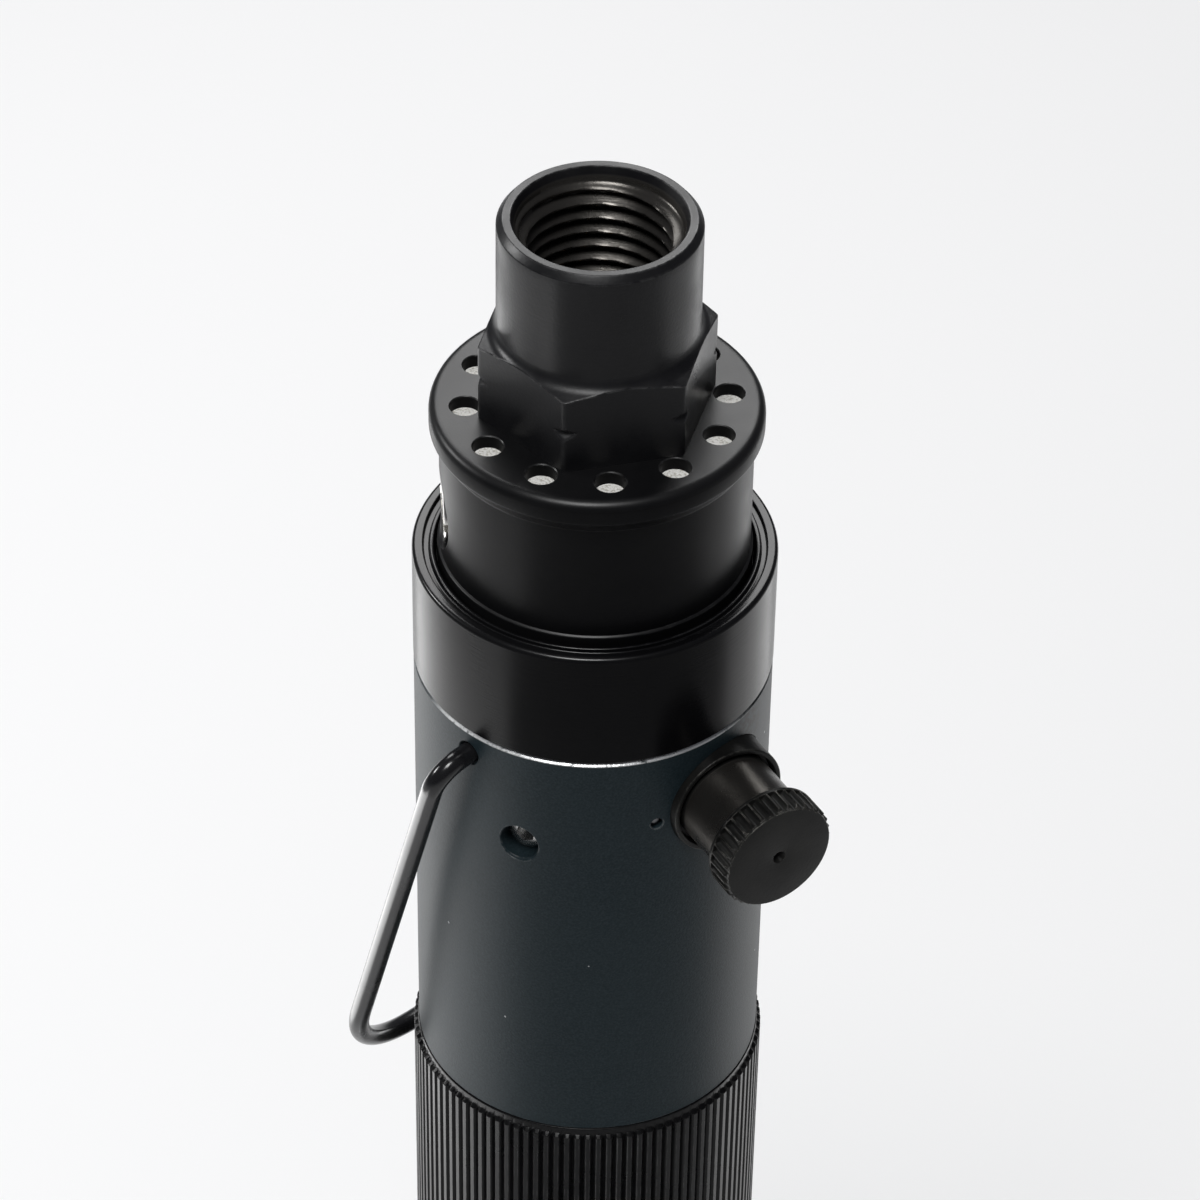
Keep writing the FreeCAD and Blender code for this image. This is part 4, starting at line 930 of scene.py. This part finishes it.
def bail_corners():
    """Corners of the bail's centre line with the radius of each bend, end to end."""
    along = outward(BAIL_AZIMUTH)
    across = Vector((0, 0, 1)).cross(along)
    down = Vector((0, 0, -1)) * math.cos(BAIL_SWING) - across * math.sin(BAIL_SWING)
    top = TUBE_RADIUS + BAIL_REACH
    bottom = top - BAIL_LENGTH * math.tan(BAIL_LEAN)
    pivot = Vector((0, 0, BAIL_HEIGHT))
    corners = [(12.1, 0.0, 0.0), (top, 0.0, 2.3), (bottom, BAIL_LENGTH, 13.4)]
    corners += [(-width, length, turn) for width, length, turn in reversed(corners)]
    return [(pivot + along * width + down * length, turn) for width, length, turn in corners]


def bent(before, corner, after, radius, steps=24):
    """Arc tangent to the two straight runs that meet at a corner."""
    back = (before - corner).normalized()
    ahead = (after - corner).normalized()
    half = back.angle(ahead) / 2
    reach = radius / math.tan(half)
    centre = corner + (back + ahead).normalized() * (radius / math.sin(half))
    first = corner + back * reach - centre
    last = corner + ahead * reach - centre
    sweep = first.angle(last)
    points = []
    for step in range(steps + 1):
        share = step / steps
        arm = first * math.sin((1 - share) * sweep) + last * math.sin(share * sweep)
        points.append(centre + arm / math.sin(sweep))
    return points


def bail():
    corners = bail_corners()
    path = [corners[0][0]]
    for before, this, after in zip(corners, corners[1:], corners[2:]):
        path += bent(before[0], this[0], after[0], this[1])
    path.append(corners[-1][0])
    dense = []
    for start, end in zip(path, path[1:]):
        count = max(1, int((end - start).length / 1.5))
        dense += [start.lerp(end, step / count) for step in range(count)]
    dense.append(path[-1])
    piece = swept("bail_wire", dense, BAIL_WIRE)
    dressed(piece, "hanger", "bail", black_wire, 50.0)


# Reversing valve

def valve_bush():
    start = 7.65
    floor = BUSH_FACE - BUSH_RECESS
    outside = [
        (3.05, start, 0),
        (BUSH_RADIUS, start, 0),
        (BUSH_RADIUS, BUSH_FACE, 0.14),
        (4.65, BUSH_FACE, 0.12),
        (4.65, floor, 0.1),
        (3.05, floor, 0.1),
    ]
    matrix = laid_out(KNOB_AZIMUTH, KNOB_HEIGHT, 0, KNOB_OFFSET)
    piece = revolved("valve_bush_body", softened(outside), 144, matrix)
    dressed(piece, "housing", "valve_bush", knob_black)


def reverse_knob():
    start = BUSH_FACE - BUSH_RECESS + 0.3
    head = start + KNOB_NECK_LENGTH
    face = head + KNOB_HEAD_LENGTH
    edge = KNOB_RADIUS - 0.26
    rim = ramped(KNOB_FLUTES, KNOB_RADIUS, 0.30, 0.12, 2.4)
    outline = softened([
        (2.25, start, 0),
        (KNOB_NECK_RADIUS, start, 0.15),
        (KNOB_NECK_RADIUS, head, 0.35),
        (KNOB_RADIUS, head, 0.16),
        (KNOB_RADIUS, head + 0.38, 0),
        (KNOB_RADIUS, head + 0.46, 0),
        (KNOB_RADIUS, face - 0.42, 0),
        (edge, face - 0.2, 0.1),
        (edge, face, 0.12),
        (0.6, face, 0.06),
        (0.12, face - 0.75, 0.1),
        (0, face - 0.78, 0),
        (0, head - 1.0, 0),
        (2.25, head - 1.0, 0),
    ])

    def at(angle, index, radius, height):
        if radius > 4.5 and height > head + 0.42:
            radius = min(radius, rim(angle))
        return radius, height

    matrix = laid_out(KNOB_AZIMUTH, KNOB_HEIGHT, 0, KNOB_OFFSET)
    piece = revolved("reverse_knob_body", outline, KNOB_FLUTES * 16, matrix, at)
    dressed(piece, "reverse_valve", "reverse_knob", knob_black, 30.0)


# Grip, clutch housing, torque ring and nose

def grip_sleeve():
    rim = ramped(GRIP_RIBS, GRIP_RADIUS, 0.36, 0.5)
    inner = 13.25
    low = 15.05
    outline = softened([
        (inner, GRIP_BOTTOM, 0),
        (low, GRIP_BOTTOM, 0.12),
        (low, GRIP_BOTTOM + 0.7, 0),
        (GRIP_RADIUS, GRIP_BOTTOM + 0.95, 0.1),
        (GRIP_RADIUS, GRIP_TOP - 0.95, 0.1),
        (low, GRIP_TOP - 0.7, 0),
        (low, GRIP_TOP, 0.12),
        (inner, GRIP_TOP, 0),
    ])

    def at(angle, index, radius, height):
        if radius > low + 0.01:
            radius = max(low - 0.02, min(radius, rim(angle)))
        return radius, height

    piece = revolved("grip_sleeve_body", outline, GRIP_RIBS * 10, at=at)
    dressed(piece, "housing", "grip_sleeve", grip_black, 40.0)


def clutch_case():
    middle = (CASE_SHOULDER + GRIP_BOTTOM) / 2
    outside = [
        (10.4, CASE_BOTTOM, 0),
        (12.6, CASE_BOTTOM, 0.2),
        (12.6, CASE_SHOULDER, 0),
        (CASE_RADIUS, CASE_SHOULDER, 0.5),
        (CASE_RADIUS, middle - 1.1, 0.2),
        (CASE_RADIUS - 0.6, middle - 0.5, 0.2),
        (CASE_RADIUS - 0.6, middle + 0.5, 0.2),
        (CASE_RADIUS, middle + 1.1, 0.2),
        (CASE_RADIUS, GRIP_BOTTOM, 0.5),
        (11.95, GRIP_BOTTOM, 0),
        (11.95, 109.9, 0.2),
        (9.5, 109.9, 0),
        (9.5, 104.9, 0),
        (7.0, 104.9, 0),
        (7.0, 102.7, 0),
        (10.4, 102.7, 0),
    ]
    piece = revolved("clutch_case_shell", softened(outside), 216)
    cutters = []
    for azimuth in (30, 150, 270):
        window = prism("window_cutter", 4, 3.2, 64.1, 70.2, turn=45.0)
        turned = Matrix.Rotation(math.radians(azimuth), 4, "Z")
        in_wall = Matrix.Translation((12.0, 0, 0)) @ Matrix.Diagonal((2.4, 1, 1, 1))
        window.data.transform(in_millimetres(turned @ in_wall))
        cutters.append(window)
    cut(piece, cutters)
    dressed(piece, "housing", "clutch_case", black_oxide)


def torque_ring():
    rim = ramped(TORQUE_FLUTES, TORQUE_RADIUS, 0.42, 0.5)
    bottom, top = 60.9, CASE_SHOULDER - 0.1
    outside = softened([
        (12.7, bottom, 0),
        (TORQUE_RADIUS, bottom, 0.6),
        (TORQUE_RADIUS, top, 0.6),
        (12.7, top, 0),
        (12.7, 70.5, 0),
        (13.7, 70.5, 0),
        (13.7, 64.1, 0),
        (12.7, 64.1, 0),
    ], 5)

    def at(angle, index, radius, height):
        if radius > 14.0 and bottom + 0.3 < height < top - 0.3:
            radius = min(radius, rim(angle))
        return radius, height

    piece = revolved("torque_ring_body", outside, TORQUE_FLUTES * 16, at=at)
    dressed(piece, "torque_adjuster", "torque_ring", black_satin, 38.0)


def nose_cap():
    outside = [
        (7.1, NOSE_BOTTOM, 0),
        (9.5, NOSE_BOTTOM, 0.6),
        (CASE_RADIUS, 53.0, 0.8),
        (CASE_RADIUS, 60.8, 0.5),
        (12.65, 60.8, 0),
        (12.65, CASE_BOTTOM - 0.1, 0),
        (10.4, CASE_BOTTOM - 0.1, 0),
        (10.4, 51.6, 0),
        (7.1, 51.6, 0),
    ]
    piece = revolved("nose_cap_shell", softened(outside, 6), 216)
    dressed(piece, "housing", "nose_cap", black_oxide)


# Capping chuck

def chuck_bell():
    outside = [
        (20.0, 0.0, 0.15),
        (CHUCK_RADIUS, 0.0, 0.45),
        (CHUCK_RADIUS, 20.6, 1.2),
        (20.2, 22.4, 1.2),
        (11.2, 29.8, 1.4),
        (CHUCK_NECK_RADIUS, 31.6, 0.6),
        (CHUCK_NECK_RADIUS, CHUCK_TOP, 0.6),
        (5.05, CHUCK_TOP, 0.2),
        (5.05, 22.0, 0),
        (10.0, 22.0, 0.3),
        (17.6, 20.6, 0.6),
        (19.6, 18.0, 0.6),
    ]
    piece = revolved("chuck_bell_body", softened(outside, 6), 288)
    cutters = []
    for azimuth in (60.0, 240.0):
        matrix = laid_out(azimuth, 33.0)
        cutters.append(drill("chuck_hole", 2.05, 3.0, CHUCK_NECK_RADIUS - 0.1, 13.0, 0.15, matrix))
    cut(piece, cutters)
    dressed(piece, "capping_head", "chuck_bell", turned_aluminium)


def chuck_liner():
    outside = [
        (17.5, 1.5, 0.4),
        (19.5, 1.5, 0.3),
        (19.5, 17.8, 0.3),
        (13.5, 17.8, 0.3),
        (13.9, 15.8, 0.6),
        (16.3, 4.5, 1.5),
    ]
    ribs = 48
    rib_height = 0.12

    def at(angle, index, radius, height):
        if radius < 17.4 and height < 16.5:
            radius -= rib_height * (0.5 + 0.5 * math.cos(ribs * angle))
        return radius, height

    piece = revolved("chuck_liner_body", softened(outside, 5), ribs * 8, at=at)
    dressed(piece, "capping_head", "chuck_liner", silicone, 50.0)


inlet_fitting()
exhaust_cap()
regulator_screw()
collar()
body_tube()
lock_pin()
set_screw()
bail()
valve_bush()
reverse_knob()
grip_sleeve()
clutch_case()
torque_ring()
nose_cap()
chuck_bell()
chuck_liner()


# Floor, light and camera

def pale_floor():
    """Floor eight metres across, drawn in millimetres as the pieces are."""
    bm = bmesh.new()
    bmesh.ops.create_grid(bm, x_segments=1, y_segments=1, size=4000)
    floor = made("studio_floor", bm)
    material, t, shader = new_material("pale_floor", Roughness=0.9, Specular_IOR_Level=0.1)
    shader.inputs["Base Color"].default_value = (0.91, 0.91, 0.91, 1)
    floor.data.materials.append(material)


def soft_lamp(name, place, aim, size, power, size_y=None, lights_floor=True):
    """Area lamp out of the camera's sight. A card only shows in reflections."""
    lamp = bpy.data.lights.new(name, "AREA")
    lamp.shape = "RECTANGLE"
    lamp.size = size
    lamp.size_y = size_y or size
    lamp.energy = power
    holder = bpy.data.objects.new(name, lamp)
    holder.location = place
    holder.rotation_mode = "QUATERNION"
    holder.rotation_quaternion = (Vector(aim) - Vector(place)).to_track_quat("-Z", "Y")
    holder.visible_camera = False
    holder.visible_diffuse = lights_floor
    bpy.context.scene.collection.objects.link(holder)


def photo_camera():
    """Stands where the photograph's perspective puts it."""
    camera = bpy.data.cameras.new("photo_camera")
    camera.sensor_width = 36.0
    camera.lens = CAMERA_LENS
    camera.clip_start = 0.01
    camera.clip_end = 20.0
    holder = bpy.data.objects.new("photo_camera", camera)
    level = math.cos(CAMERA_PITCH)
    ahead = Vector((
        math.sin(CAMERA_YAW) * level,
        math.cos(CAMERA_YAW) * level,
        -math.sin(CAMERA_PITCH),
    ))
    right = ahead.cross(Vector((0, 0, 1))).normalized()
    up = right.cross(ahead)
    lean = Matrix.Rotation(-CAMERA_ROLL, 3, ahead)
    right, up = lean @ right, lean @ up
    turn = Matrix((right, up, -ahead)).transposed().to_4x4()
    holder.matrix_world = Matrix.Translation(CAMERA_PLACE) @ turn
    bpy.context.scene.collection.objects.link(holder)
    bpy.context.scene.camera = holder


pale_floor()
soft_lamp("overhead", (-0.10, -0.38, 1.05), (0, 0, 0.2), 0.30, 5.4)
soft_lamp("back_window", (-0.05, 0.62, 0.74), (0, 0, 0.22), 0.80, 4.9, 0.35)
soft_lamp("left_window", (-0.55, 0.15, 0.44), (0, 0, 0.2), 0.12, 1.1)
soft_lamp("left_card", (-0.13, 0.05, 0.0575), (0, 0.05, 0.0575), 0.30, 0.39, 0.115,
          lights_floor=False)
soft_lamp("right_card", (0.13, 0.10, 0.06), (0, 0.10, 0.06), 0.20, 0.155, 0.12,
          lights_floor=False)

world = bpy.data.worlds.new("studio")
world.use_nodes = True
background = world.node_tree.nodes["Background"]
background.inputs["Color"].default_value = (0.9, 0.92, 1.0, 1)
background.inputs["Strength"].default_value = 0.10
bpy.context.scene.world = world
bpy.context.scene.view_settings.view_transform = "Standard"
photo_camera()
